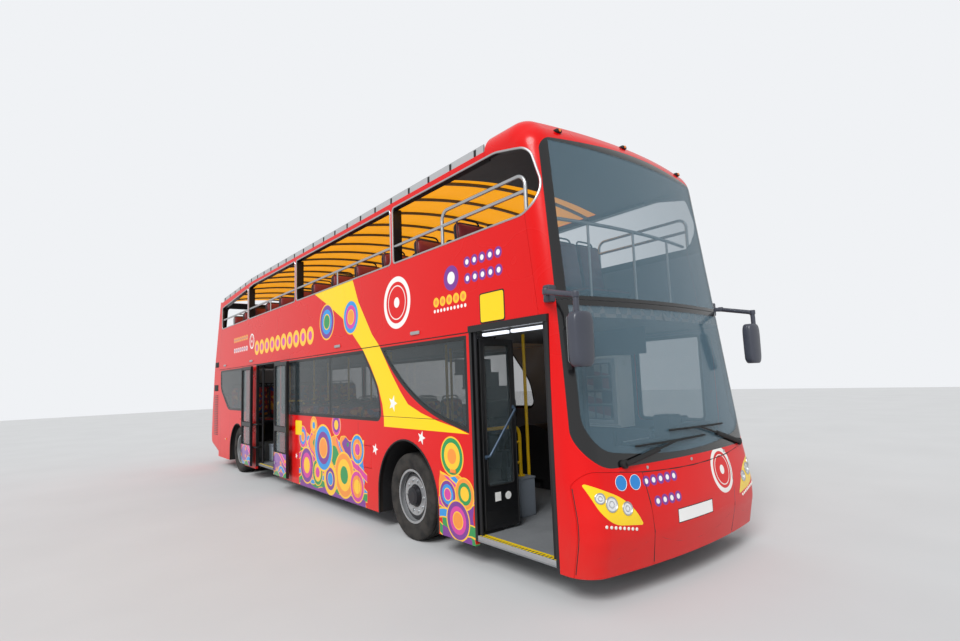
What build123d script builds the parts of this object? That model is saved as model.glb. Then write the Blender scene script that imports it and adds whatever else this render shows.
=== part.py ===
from build123d import *
import math
import os

# Open top double decker bus, in millimetres.
# +X points forward, +Y left and +Z up. The origin is on the ground, below the
# centre of the bus. The doors are on the right side and stand open.

# Driving dimensions: overall
LENGTH = 11800
WIDTH = 2550
HEIGHT = 4000
FRONT_OVERHANG = 2700
REAR_OVERHANG = 2350
SKIRT_Z = 200
DECK_Z = HEIGHT / 2 + 150        # joint line between the lower and upper skins
SILL_Z = DECK_Z + 930            # top of the upper skins
RAIL_LOW_Z = HEIGHT - 270        # underside of the top rail
RAIL_TOP_Z = HEIGHT - 200
PANEL_T = 50             # thickness of every outer wall
SEAM = 3                 # shut line between neighbouring skins
FIT = 0.3                # clearance of a soft or curved seat

# Places that follow from them
NOSE_X = LENGTH / 2
TAIL_X = -LENGTH / 2
SIDE_Y = WIDTH / 2
INNER_Y = SIDE_Y - PANEL_T
FRONT_AXLE_X = NOSE_X - FRONT_OVERHANG
REAR_AXLE_X = TAIL_X + REAR_OVERHANG

# Floors
FLOOR_Z = 300            # top of the low floor
FLOOR_T = 40
REAR_FLOOR_Z = 640       # top of the raised floor behind the middle door
UPPER_FLOOR_Z = DECK_Z + 90
UPPER_FLOOR_T = 70

# Wheels
TYRE_R = 460
TYRE_W = 276
RIM_R = 286
WHEEL_RECESS = 52        # from the skin to the outer side wall of a tyre
TWIN_PITCH = 316
FRONT_WHEEL_Y = SIDE_Y - WHEEL_RECESS - TYRE_W / 2
REAR_WHEEL_Y = FRONT_WHEEL_Y
KING_PIN_OFFSET = 100    # from the wheel's middle plane to the king pin
KING_PIN_Y = FRONT_WHEEL_Y - KING_PIN_OFFSET
KING_PIN_R = 25
PIN_CLEAR = 0.05
FRONT_ARCH_R = 620
FRONT_ARCH_Z = 450
REAR_ARCH_R = 550
REAR_ARCH_Z = 430

# Nose: turned about an upright axis behind it, its corners rounded
BOW_R = 6500
BOW_DEPTH = BOW_R - math.sqrt(BOW_R**2 - SIDE_Y**2)   # of the bow between middle and side
CORNER_R = 230
NOSE_BACK_X = NOSE_X - 1300
NOSE_CUT_X = NOSE_X - 600        # ahead of this the panels are cut and the floors follow the nose
BAY_FRONT_X = NOSE_X - BOW_DEPTH - 379
NOSE_LOW_Z = 215
PILLAR_LEAN = 0.124      # how far that joint leans back per unit of height above it
SCREEN_LOW_Z = 985
SCREEN_TOP_Z = HEIGHT - 205
SCREEN_SPLIT_Z = DECK_Z + 160
SCREEN_T = 12
COWL_GAP_Z = 905

# Tail
TAIL_JOINT_X = TAIL_X + 800
TAIL_CORNER_R = 150

# Doors
FRONT_DOOR_X0 = NOSE_X - 1450
FRONT_DOOR_X1 = NOSE_X - 480
FRONT_DOOR_TOP_Z = DECK_Z - 10
MID_DOOR_X0 = REAR_AXLE_X + 1300
MID_DOOR_X1 = MID_DOOR_X0 + 1300
MID_DOOR_TOP_Z = DECK_Z - 30
REAR_FLOOR_X = MID_DOOR_X0 - 400
DOOR_LOW_Z = 250
DOOR_FRAME_W = 35
HEADER_TOP_Z = DECK_Z + 50       # top of the black strip over the front door
HEADER_OVER = DOOR_FRAME_W - SEAM
DOOR_PILLAR_X = FRONT_DOOR_X1 + DOOR_FRAME_W   # joint of side and nose skins

# Upper openings
POST_W = 70
POST_DEPTH = 120
FRONT_POST_X = NOSE_X - 2910
REAR_POST_X = TAIL_X + 3050
POST_XS = (FRONT_POST_X, (FRONT_POST_X + REAR_POST_X) / 2 - 240, REAR_POST_X)
REAR_BAY_X = TAIL_X + 1000
BAY_H = RAIL_LOW_Z - SILL_Z
RAIL_DEPTH = 80
CANOPY_CROWN_Z = HEIGHT - 70
BOW_PITCH = 600
BOW_FIRST_X = NOSE_X - 1420
BOW_COUNT = int((BOW_FIRST_X - REAR_BAY_X) / BOW_PITCH) + 1

os.makedirs("parts", exist_ok=True)


# Helpers


def outline(*corners):
    """Face bounded by straight runs; each corner is (x, y) or (x, y, radius)."""
    runs = []
    count = len(corners)
    for index, corner in enumerate(corners):
        here = Vector(corner[0], corner[1])
        radius = corner[2] if len(corner) > 2 else 0
        before = (Vector(*corners[index - 1][:2]) - here).normalized()
        after = (Vector(*corners[(index + 1) % count][:2]) - here).normalized()
        half = math.radians(before.get_angle(after)) / 2
        reach = radius / math.tan(half)
        toward = (before + after).normalized()
        middle = here + toward * (radius / math.sin(half) - radius)
        runs.append((here + before * reach, middle, here + after * reach, radius))
    edges = []
    for index, (start, middle, end, radius) in enumerate(runs):
        if radius > 0:
            edges.append(ThreePointArc(start, middle, end))
        following = runs[(index + 1) % count][0]
        if (following - end).length > 0.01:
            edges.append(Line(end, following))
    return make_face(Wire(edges))


def block(x0, x1, y0, y1, z0, z1):
    """Box between two corners."""
    size = Box(x1 - x0, y1 - y0, z1 - z0)
    return Pos((x0 + x1) / 2, (y0 + y1) / 2, (z0 + z1) / 2) * size


def upright(x, y, z0, z1, radius):
    """Round bar standing from z0 to z1."""
    return Pos(x, y, (z0 + z1) / 2) * Cylinder(radius, z1 - z0)


def crossbar(x, z, y0, y1, radius):
    """Round bar along Y."""
    bar = Rot(90, 0, 0) * Cylinder(radius, y1 - y0)
    return Pos(x, (y0 + y1) / 2, z) * bar


def side_slab(face, side=-1, outer_y=SIDE_Y, thick=PANEL_T):
    """Slab from a face drawn in X and Z; side is -1 for right and 1 for left."""
    high_y = outer_y if side > 0 else thick - outer_y
    return extrude(Pos(0, high_y, 0) * (Plane.XZ * face), amount=thick, dir=(0, -1, 0))


def front_prism(face, x0, x1):
    """Prism along X from a face drawn in Y and Z."""
    return extrude(Pos(x0, 0, 0) * (Plane.YZ * face), amount=x1 - x0, dir=(1, 0, 0))


def tube(points, radius, bend):
    """Round bar along straight runs joined by tangent arcs."""
    route = FilletPolyline(*points, radius=bend)
    start = Plane(origin=route @ 0, z_dir=route % 0)
    return sweep(start * Circle(radius), path=route)


def mirrored(shape):
    """The same piece on the other side of the bus."""
    return mirror(shape, about=Plane.XZ)


def save(node, *shapes):
    """Write the solids of one node."""
    solids = []
    for shape in shapes:
        solids.extend(shape.solids())
    export_step(Compound(solids), f"parts/{node}.step")


# Nose skin


NOSE_ROWS = (  # distance behind the nose, height, rounding
    (50, NOSE_LOW_Z, 0),
    (0, 470, 300),
    (0, 640, 500),
    (66, 1010, 900),
    (415, HEIGHT - 210, 330),
    (620, HEIGHT, 260),
)


def nose_block(inset):
    """Solid inside the nose skin, turned about the bow axis and cut to the width."""
    axis_x = NOSE_X - BOW_R
    top = HEIGHT - inset
    back_x = NOSE_BACK_X - 700
    line = [(NOSE_X - behind - inset, min(z, top)) for behind, z, _ in NOSE_ROWS]
    line.append((back_x, top))
    radii = [rounding for _, _, rounding in NOSE_ROWS[1:]]
    front = FilletPolyline(*line, radius=radii)
    rest = Polyline((back_x, top), (back_x, NOSE_LOW_Z), line[0])
    profile = make_face(Plane.XZ * (front + rest))
    arc = 40
    turned = revolve(profile, axis=Axis((axis_x, 0, 0), (0, 0, 1)), revolution_arc=arc)
    turned = Pos(axis_x, 0, 0) * Rot(0, 0, -arc / 2) * Pos(-axis_x, 0, 0) * turned
    half = SIDE_Y - inset
    cut = turned & block(NOSE_BACK_X, NOSE_X + 100, -half, half, 0, HEIGHT)
    corners = [
        edge
        for edge in cut.edges()
        if abs(abs(edge.center().Y) - half) < 0.5
        and edge.center().Z > NOSE_LOW_Z + 1
        and edge.center().X > NOSE_BACK_X + 1
    ]
    return fillet(corners, CORNER_R - inset)


def joint_x(z):
    """Joint of side and nose skins at a height."""
    return DOOR_PILLAR_X - PILLAR_LEAN * max(z - DECK_Z, 0) - (90 if z > DECK_Z else 0)


UPPER_JOINT_LOW_X = joint_x(DECK_Z + 1)
UPPER_JOINT_SILL_X = joint_x(SILL_Z)
BAY_TURN_X = NOSE_X - 1000
FRONT_BAY = (  # x, z, rounding
    (POST_XS[0] + POST_W / 2, SILL_Z, 40),
    (BAY_FRONT_X - 95, SILL_Z, 0.3 * BAY_H),
    (BAY_FRONT_X, SILL_Z + 0.31 * BAY_H, 0.4 * BAY_H),
    (BAY_FRONT_X - 95, SILL_Z + 0.86 * BAY_H, 0.2 * BAY_H),
    (BAY_TURN_X, RAIL_LOW_Z, 0.75 * BAY_H),
    (POST_XS[0] + POST_W / 2, RAIL_LOW_Z, 40),
)
SCREEN_OUTLINE = (  # y, z, rounding
    (23 - SIDE_Y, SCREEN_LOW_Z, 300),
    (SIDE_Y - 23, SCREEN_LOW_Z, 300),
    (SIDE_Y - 95, SCREEN_TOP_Z - 55, 130),
    (0, SCREEN_TOP_Z + 30, 6000),
    (95 - SIDE_Y, SCREEN_TOP_Z - 55, 130),
)
CORNER_PANEL = (  # y, z, rounding, for the left lamp panel
    (SIDE_Y - 7, NOSE_LOW_Z - 10, 0),
    (SIDE_Y - 7, 990, 120),
    (668, 928, 0),
    (609, NOSE_LOW_Z - 10, 0),
)
CENTRE_PANEL = (  # y, z, rounding
    (-609, NOSE_LOW_Z - 10, 0),
    (609, NOSE_LOW_Z - 10, 0),
    (668, 928, 0),
    (0, COWL_GAP_Z, 9000),
    (-668, 928, 0),
)
LAMP_OUTLINE = (  # y, z, rounding, for the left lamp
    (SIDE_Y - 530, 548, 12),
    (SIDE_Y - 155, 600, 260),
    (SIDE_Y - 39, 905, 12),
    (SIDE_Y - 405, 745, 500),
)
LAMP_LENSES = (  # y, z, radius
    (SIDE_Y - 140, 790, 36),
    (SIDE_Y - 230, 738, 52),
    (SIDE_Y - 375, 690, 46),
)

nose_outer = nose_block(0)
nose_shell = nose_outer - nose_block(PANEL_T)
front_bay_hole = side_slab(outline(*FRONT_BAY), -1, SIDE_Y + 50, WIDTH + 100)
screen_prism = front_prism(outline(*SCREEN_OUTLINE), NOSE_BACK_X, NOSE_X + 50)
corner_prism = front_prism(outline(*CORNER_PANEL), NOSE_CUT_X, NOSE_X + 50)
centre_prism = front_prism(outline(*CENTRE_PANEL), NOSE_CUT_X, NOSE_X + 50)
lower_zone = block(DOOR_PILLAR_X, NOSE_X + 50, -SIDE_Y - 1, SIDE_Y + 1, 0, DECK_Z)
upper_zone_face = outline(
    (UPPER_JOINT_LOW_X, DECK_Z),
    (NOSE_X + 50, DECK_Z),
    (NOSE_X + 50, RAIL_LOW_Z),
    (BAY_TURN_X, RAIL_LOW_Z),
    (UPPER_JOINT_SILL_X, SILL_Z),
)
upper_zone = side_slab(upper_zone_face, -1, SIDE_Y + 1, WIDTH + 2)
surround = nose_shell & (lower_zone + upper_zone)
surround = surround - screen_prism - front_bay_hole - centre_prism
surround = surround - corner_prism - mirrored(corner_prism)
surround = surround - block(
    FRONT_DOOR_X0, FRONT_DOOR_X1 + HEADER_OVER + SEAM, -SIDE_Y - 1, -SIDE_Y + 120, 0, HEADER_TOP_Z + SEAM
)
save("nose_surround", surround)


def shrunk(points, amount):
    """Face of an outline pulled in by the seam."""
    return offset(outline(*points), -amount)


lamp_prism = front_prism(outline(*LAMP_OUTLINE), NOSE_CUT_X, NOSE_X + 50)
panel_prism = front_prism(shrunk(CORNER_PANEL, SEAM), NOSE_CUT_X, NOSE_X + 50)
left_corner = (nose_shell & panel_prism & lower_zone) - lamp_prism
save("lamp_panels", left_corner, mirrored(left_corner))
centre_face = shrunk(CENTRE_PANEL, SEAM)
save("nose_centre_panel", nose_shell & front_prism(centre_face, NOSE_CUT_X, NOSE_X + 50))

# Head lamps: a coloured base flush with the panel and round lenses standing in it
lamp_shell = nose_outer - nose_block(PANEL_T - 10)
lamp_base = lamp_shell & lamp_prism
lens_set = []
for lens_y, lens_z, lens_r in LAMP_LENSES:
    bore = front_prism(Pos(lens_y, lens_z) * Circle(lens_r), NOSE_CUT_X, NOSE_X + 50)
    lamp_base = lamp_base - bore
    lens_set.append(lamp_shell & bore & lamp_prism)
save("lamp_bases", lamp_base, mirrored(lamp_base))
save("lamp_lenses", *lens_set, *[mirrored(lens) for lens in lens_set])

# Windscreens, bonded on the skin line
glass_shell = nose_outer - nose_block(SCREEN_T)
lower_half = block(NOSE_BACK_X, NOSE_X + 50, -SIDE_Y, SIDE_Y, 0, SCREEN_SPLIT_Z - SEAM)
upper_half = block(
    NOSE_BACK_X, NOSE_X + 50, -SIDE_Y, SIDE_Y, SCREEN_SPLIT_Z + SEAM, HEIGHT
)
lower_screen = glass_shell & screen_prism & lower_half
upper_screen = glass_shell & screen_prism & upper_half
save("windscreens", lower_screen, upper_screen)

# Roof hood over the front seats
hood_zone = block(
    NOSE_BACK_X + 150, NOSE_X, -SIDE_Y - 1, SIDE_Y + 1, RAIL_LOW_Z, HEIGHT + 1
)
hood = (nose_shell & hood_zone) - screen_prism - front_bay_hole
save("roof_hood", hood)

# Beam behind the joint of the two windscreens
split_beam = (nose_block(SCREEN_T) - nose_block(SCREEN_T + 45)) & screen_prism
beam_low_z = UPPER_FLOOR_Z - UPPER_FLOOR_T
beam_zone = block(NOSE_BACK_X, NOSE_X, -SIDE_Y, SIDE_Y, beam_low_z, SCREEN_SPLIT_Z + 30)
screen_beam = split_beam & beam_zone

# Tail skin


TAIL_ROWS = (  # distance ahead of the tail, height, rounding
    (900, SKIRT_Z, 0),
    (600, 255, 60),
    (50, 400, 90),
    (0, 600, 300),
    (0, 700, 500),
    (50, 1250, 2500),
    (205, DECK_Z + 50, 2500),
    (700, RAIL_TOP_Z, 0),
)


def tail_block(inset):
    """Solid inside the tail skin."""
    line = [(TAIL_X + ahead + inset, z) for ahead, z, _ in TAIL_ROWS]
    radii = [rounding for _, _, rounding in TAIL_ROWS[1:-1]]
    back = FilletPolyline(*line, radius=radii)
    front_x = TAIL_JOINT_X + 900
    rest = Polyline(line[-1], (front_x, line[-1][1]), (front_x, line[0][1]), line[0])
    half = SIDE_Y - inset
    solid = side_slab(make_face(back + rest), -1, half, 2 * half)
    corners = [
        edge
        for edge in solid.edges()
        if abs(abs(edge.center().Y) - half) < 0.5
        and edge.center().X < TAIL_X + 880 + inset
        and edge.center().Z > SKIRT_Z + 60
    ]
    return fillet(corners, TAIL_CORNER_R - inset)


TAIL_TOP_JOINT_X = REAR_BAY_X - 20
HATCH_Z0 = 650
HATCH_Z1 = 1720
HATCH_Y = SIDE_Y - 415
tail_outer = tail_block(0)
tail_inner = tail_block(PANEL_T)
tail_shell = tail_outer - tail_inner
tail_lower_zone = block(TAIL_X - 10, TAIL_JOINT_X, -SIDE_Y, SIDE_Y, 0, DECK_Z)
tail_upper_face = outline(
    (TAIL_X - 10, DECK_Z + SEAM),
    (TAIL_JOINT_X, DECK_Z + SEAM),
    (TAIL_TOP_JOINT_X, SILL_Z),
    (TAIL_TOP_JOINT_X, RAIL_LOW_Z - 50),
    (TAIL_X + 660, RAIL_LOW_Z + 15),
    (TAIL_X - 10, RAIL_LOW_Z + 30),
)
tail_upper_zone = side_slab(tail_upper_face, -1, SIDE_Y + 1, WIDTH + 2)
hatch_face = outline(
    (-HATCH_Y, HATCH_Z0, 60),
    (HATCH_Y, HATCH_Z0, 60),
    (HATCH_Y, HATCH_Z1, 60),
    (-HATCH_Y, HATCH_Z1, 60),
)
hatch_hole = front_prism(hatch_face, TAIL_X - 50, TAIL_X + 400)
COLUMN_Y0 = SIDE_Y - 355
COLUMN_Y1 = SIDE_Y - 185
COLUMN_TOP = 1560
lamp_column = outline(
    (COLUMN_Y0, HATCH_Z0, 30),
    (COLUMN_Y1, HATCH_Z0, 30),
    (COLUMN_Y1, COLUMN_TOP, 30),
    (COLUMN_Y0, COLUMN_TOP, 30),
)
column_hole = front_prism(lamp_column, TAIL_X - 50, TAIL_X + 400)
tail_lower = (tail_shell & tail_lower_zone) - hatch_hole
tail_lower = tail_lower - column_hole - mirrored(column_hole)
REAR_WINDOW_Y = SIDE_Y - 195
REAR_WINDOW_TOP_Z = RAIL_LOW_Z - 130
rear_window = outline(
    (-REAR_WINDOW_Y, SILL_Z + 20, 60),
    (REAR_WINDOW_Y, SILL_Z + 20, 60),
    (REAR_WINDOW_Y, REAR_WINDOW_TOP_Z, 60),
    (-REAR_WINDOW_Y, REAR_WINDOW_TOP_Z, 60),
)
tail_upper = tail_shell & tail_upper_zone
tail_upper = tail_upper - front_prism(rear_window, TAIL_X - 50, TAIL_X + 900)
save("tail_upper", tail_upper)

# Engine hatch: louvred panel hinged along its top edge
hatch_gap = offset(hatch_face, -6)
hatch = tail_shell & front_prism(hatch_gap, TAIL_X - 50, TAIL_X + 400)
LOUVRE_COUNT = 9
LOUVRE_PITCH = 60
LOUVRE_H = 30
for index in range(LOUVRE_COUNT):
    low_z = HATCH_Z0 + 140 + index * LOUVRE_PITCH
    slot = block(TAIL_X - 50, TAIL_X + 300, -620, 620, low_z, low_z + LOUVRE_H)
    hatch = hatch - slot
HINGE_Z = HATCH_Z1 - 3
HINGE_STAND = 4          # from the skin out to the hinge's axis
(low_ahead, low_z, _), (high_ahead, high_z, _) = TAIL_ROWS[5:7]
tail_lean = (high_ahead - low_ahead) / (high_z - low_z)
HINGE_X = TAIL_X + low_ahead + tail_lean * (HINGE_Z - low_z) - HINGE_STAND
HINGE_PIN_R = 5
HINGE_R = 9
HINGE_GAP = 5
HINGE_PIN_CLEAR = 0.05
HINGE_Y0 = 420
HINGE_Y1 = 580
LUG_W = 16


def both_sides(shape):
    """The piece and its mirror image."""
    return shape + mirrored(shape)


barrel_y0 = HINGE_Y0 + LUG_W + HINGE_GAP
barrel_y1 = HINGE_Y1 - LUG_W - HINGE_GAP
room_r = HINGE_R + HINGE_GAP
tail_lower -= both_sides(crossbar(HINGE_X, HINGE_Z, barrel_y0 - HINGE_GAP, barrel_y1 + HINGE_GAP, room_r))
for lug_y in (HINGE_Y0, HINGE_Y1 - LUG_W):
    lug = crossbar(HINGE_X, HINGE_Z, lug_y, lug_y + LUG_W, HINGE_R)
    lug += block(HINGE_X - HINGE_R, HINGE_X + 38, lug_y, lug_y + LUG_W, HINGE_Z, HINGE_Z + 28)
    hatch -= both_sides(
        crossbar(HINGE_X, HINGE_Z, lug_y - HINGE_GAP, lug_y + LUG_W + HINGE_GAP, room_r)
    )
    tail_lower += both_sides(lug)
tail_lower += both_sides(crossbar(HINGE_X, HINGE_Z, HINGE_Y0, HINGE_Y1, HINGE_PIN_R))
barrel = crossbar(HINGE_X, HINGE_Z, barrel_y0, barrel_y1, HINGE_R)
barrel += block(HINGE_X - 7, HINGE_X + 18, barrel_y0, barrel_y1, HINGE_Z - 27, HINGE_Z)
hatch += both_sides(barrel)
hatch -= both_sides(
    crossbar(HINGE_X, HINGE_Z, barrel_y0 - 1, barrel_y1 + 1, HINGE_PIN_R + HINGE_PIN_CLEAR)
)
save("tail_lower", tail_lower)
save("engine_hatch", hatch)
tail_lamp = (tail_outer - tail_block(PANEL_T - 15)) & front_prism(
    offset(lamp_column, -FIT), TAIL_X - 50, TAIL_X + 400
)
save("tail_lamps", tail_lamp, mirrored(tail_lamp))

# Side skins


def arch_face(x, z, radius):
    """Wheel arch opening: a half circle over straight sides."""
    sides = Pos(x, (SKIRT_Z - 100 + z) / 2) * Rectangle(2 * radius, z - SKIRT_Z + 100)
    return Pos(x, z) * Circle(radius) + sides


front_arch = arch_face(FRONT_AXLE_X, FRONT_ARCH_Z, FRONT_ARCH_R)
rear_arch = arch_face(REAR_AXLE_X, REAR_ARCH_Z, REAR_ARCH_R)
WINDOW_LOW_Z = 1250
WINDOW_TOP_Z = DECK_Z - 30
WINDOW_H = WINDOW_TOP_Z - WINDOW_LOW_Z
CENTRE_END_X = FRONT_DOOR_X0 - DOOR_FRAME_W
REAR_END_X = MID_DOOR_X0 - DOOR_FRAME_W
CENTRE_START_X = MID_DOOR_X1 + DOOR_FRAME_W
RIGHT_WINDOWS = {
    "rear": (
        (TAIL_X + 910, WINDOW_TOP_Z, 60),
        (MID_DOOR_X0 - 680, WINDOW_TOP_Z, 30),
        (MID_DOOR_X0 - 680, WINDOW_LOW_Z, 30),
        (TAIL_X + 1600, WINDOW_LOW_Z, 500),
        (TAIL_X + 910, WINDOW_LOW_Z + 0.52 * WINDOW_H, 0.34 * WINDOW_H),
    ),
    "middle": (
        (MID_DOOR_X1 + 90, WINDOW_LOW_Z, 60),
        (FRONT_AXLE_X - 510, WINDOW_LOW_Z, 110),
        (FRONT_AXLE_X - 590, WINDOW_LOW_Z + 0.47 * WINDOW_H, 0.69 * WINDOW_H),
        (FRONT_AXLE_X - 985, WINDOW_TOP_Z, 60),
        (MID_DOOR_X1 + 90, WINDOW_TOP_Z, 60),
    ),
    "sweep": (
        (FRONT_AXLE_X - 535, WINDOW_TOP_Z, 0),
        (FRONT_DOOR_X0 - 75, WINDOW_TOP_Z, 0),
        (FRONT_DOOR_X0 - 75, WINDOW_LOW_Z - 45, 0),
        (FRONT_AXLE_X + 70, WINDOW_LOW_Z + 202, 2500),
    ),
}
LEFT_WINDOWS = {
    "rear": RIGHT_WINDOWS["rear"],
    "middle": (
        (MID_DOOR_X0 - 600, WINDOW_LOW_Z, 60),
        (FRONT_AXLE_X - 510, WINDOW_LOW_Z, 110),
        (FRONT_AXLE_X - 590, WINDOW_LOW_Z + 0.47 * WINDOW_H, 0.69 * WINDOW_H),
        (FRONT_AXLE_X - 985, WINDOW_TOP_Z, 60),
        (MID_DOOR_X0 - 600, WINDOW_TOP_Z, 60),
    ),
    "cab": (
        (FRONT_DOOR_X0, 1150, 80),
        (FRONT_DOOR_X1 - 100, 1150, 80),
        (FRONT_DOOR_X1 - 100, WINDOW_TOP_Z, 60),
        (FRONT_DOOR_X0, WINDOW_TOP_Z, 60),
    ),
}
FLAP_X0 = FRONT_AXLE_X - 1050
FLAP_X1 = FRONT_AXLE_X - 800
FLAP_Z0 = 680
FLAP_Z1 = 950
FLAP_PIN_R = 2.5
FLAP_BARREL_R = 5
FLAP_PIN_X = FLAP_X1 - FLAP_BARREL_R - 0.5
FLAP_PIN_Y = FLAP_BARREL_R - SIDE_Y


def skin(x0, x1, z0, z1):
    """Plain rectangle drawn in X and Z."""
    return outline((x0, z0), (x1, z0), (x1, z1), (x0, z1))


LOWER_TOP_Z = DECK_Z - SEAM
rear_right = skin(TAIL_JOINT_X + SEAM, REAR_END_X, SKIRT_Z, LOWER_TOP_Z) - rear_arch
rear_right = rear_right - outline(*RIGHT_WINDOWS["rear"])
save("right_rear_skin", side_slab(rear_right))
centre_right = skin(CENTRE_START_X, CENTRE_END_X, SKIRT_Z, LOWER_TOP_Z) - front_arch
centre_right = centre_right - outline(*RIGHT_WINDOWS["middle"])
centre_right = centre_right - outline(*RIGHT_WINDOWS["sweep"])
centre_right = centre_right - skin(FLAP_X0, FLAP_X1, FLAP_Z0, FLAP_Z1)
flap_pin = upright(FLAP_PIN_X, FLAP_PIN_Y, FLAP_Z0 - 2, FLAP_Z1 + 2, FLAP_PIN_R)
save("right_centre_skin", side_slab(centre_right) + flap_pin)
lower_left = skin(TAIL_JOINT_X + SEAM, DOOR_PILLAR_X - SEAM, SKIRT_Z, LOWER_TOP_Z)
lower_left = lower_left - front_arch - rear_arch
for corners in LEFT_WINDOWS.values():
    lower_left = lower_left - outline(*corners)
save("left_lower_skin", side_slab(lower_left, 1))

# Window frames and panes fill the skin's cut-outs from the outside
FRAME_W = 40
FRAME_T = 30
PANE_T = 8
PANE_RECESS = 4


def glazing(windows, side):
    """Frames and panes of one side."""
    frames = []
    panes = []
    for corners in windows.values():
        hole = outline(*corners)
        light = offset(hole, -FRAME_W)
        frames.append(side_slab(hole - light, side, SIDE_Y, FRAME_T))
        panes.append(side_slab(light, side, SIDE_Y - PANE_RECESS, PANE_T))
    return frames, panes


right_frames, right_panes = glazing(RIGHT_WINDOWS, -1)
BAR_W = 60
MIDDLE_BARS = (0.186, 0.569)   # upright bars of the long window, as shares of its length
long_x0 = MID_DOOR_X1 + 90
long_x1 = FRONT_AXLE_X - 510
for share in MIDDLE_BARS:
    bar_x = long_x0 + share * (long_x1 - long_x0)
    bar = skin(bar_x - BAR_W / 2, bar_x + BAR_W / 2, WINDOW_LOW_Z + FRAME_W, WINDOW_TOP_Z - FRAME_W)
    right_frames.append(side_slab(bar, -1, SIDE_Y - PANE_RECESS - PANE_T, 20))
left_frames, left_panes = glazing(LEFT_WINDOWS, 1)
save("side_window_frames", *right_frames, *left_frames)
save("side_panes", *right_panes, *left_panes)

# Upper skins
header_notch = skin(
    FRONT_DOOR_X0 - HEADER_OVER - SEAM, FRONT_DOOR_X1 + HEADER_OVER + SEAM, DECK_Z, HEADER_TOP_Z + SEAM
)
upper_side = outline(
    (TAIL_JOINT_X + SEAM, DECK_Z),
    (UPPER_JOINT_LOW_X - SEAM, DECK_Z),
    (joint_x(SILL_Z) - SEAM, SILL_Z),
    (TAIL_TOP_JOINT_X + SEAM, SILL_Z),
)
save("upper_skins", side_slab(upper_side - header_notch), side_slab(upper_side, 1))

# Posts and top rail round the upper openings
REAR_RAIL_DROP_Z = RAIL_LOW_Z - 175
REAR_RAIL_TOP_Z = RAIL_TOP_Z - 110
REAR_POST_TOP_Z = RAIL_LOW_Z - 30
rail_face = outline(
    (TAIL_TOP_JOINT_X + SEAM, REAR_RAIL_DROP_Z),
    (POST_XS[2], REAR_POST_TOP_Z),
    (POST_XS[2] + 350, RAIL_LOW_Z),
    (NOSE_BACK_X + 150 - SEAM, RAIL_LOW_Z),
    (NOSE_BACK_X + 150 - SEAM, RAIL_TOP_Z),
    (POST_XS[2] + 150, RAIL_TOP_Z),
    (TAIL_TOP_JOINT_X + SEAM, REAR_RAIL_TOP_Z),
)
rail = side_slab(rail_face, -1, SIDE_Y, RAIL_DEPTH)
for post_x in POST_XS:
    top_z = REAR_POST_TOP_Z if post_x == POST_XS[2] else RAIL_LOW_Z
    post = skin(post_x - POST_W / 2, post_x + POST_W / 2, SILL_Z, top_z)
    rail = rail + side_slab(post, -1, SIDE_Y, POST_DEPTH)
save("top_frames", rail, mirrored(rail))

# Canopy bows and canopy
arch_half = SIDE_Y - RAIL_DEPTH
BOW_H = 28
BOW_W = 34
BOW_END_Z = RAIL_TOP_Z - 6


def roof_arc(half, end_z, crown_z, depth):
    """Thin arched strip drawn in Y and Z."""
    top = ThreePointArc((-half, end_z), (0, crown_z), (half, end_z))
    low = ThreePointArc((half, end_z - depth), (0, crown_z - depth), (-half, end_z - depth))
    right = Line((half, end_z), (half, end_z - depth))
    left = Line((-half, end_z - depth), (-half, end_z))
    return make_face(Wire([top, right, low, left]))


REAR_SLOPE_X = POST_XS[2] + 150
REAR_SLOPE_END_X = REAR_BAY_X + 20
REAR_SLOPE_DROP = 108


def slope_drop(x):
    """How far the roof line has come down behind the last long bay."""
    return REAR_SLOPE_DROP * max(0, REAR_SLOPE_X - x) / (REAR_SLOPE_X - REAR_SLOPE_END_X)


bows = []
for index in range(BOW_COUNT):
    bow_x = BOW_FIRST_X - index * BOW_PITCH
    drop = slope_drop(bow_x)
    bow_face = roof_arc(arch_half, BOW_END_Z - drop, CANOPY_CROWN_Z - 12 - drop, BOW_H)
    bows.append(front_prism(bow_face, bow_x - BOW_W / 2, bow_x + BOW_W / 2))
save("canopy_bows", *bows)

# Canopy: one arched sheet laid over the bows, its front under the roof hood
CANOPY_T = 6
CANOPY_FRONT_X = NOSE_X - 1000
CANOPY_LAP = 20
canopy_half = arch_half + CANOPY_LAP
canopy_end_z = RAIL_TOP_Z + CANOPY_T + FIT
canopy_face = roof_arc(canopy_half, canopy_end_z, CANOPY_CROWN_Z, CANOPY_T)
canopy = front_prism(canopy_face, REAR_SLOPE_X, CANOPY_FRONT_X)
low_face = roof_arc(
    canopy_half, canopy_end_z - REAR_SLOPE_DROP, CANOPY_CROWN_Z - REAR_SLOPE_DROP, CANOPY_T
)
canopy += loft(
    [
        Pos(REAR_SLOPE_END_X, 0, 0) * (Plane.YZ * low_face),
        Pos(REAR_SLOPE_X, 0, 0) * (Plane.YZ * canopy_face),
    ]
)
save("canopy", canopy)

# Door frames
HEADER_PROUD = 10


def jamb(x0, x1, top_z):
    """Upright of a door frame."""
    return block(x0, x1, -SIDE_Y, -INNER_Y, DOOR_LOW_Z, top_z)


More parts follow.
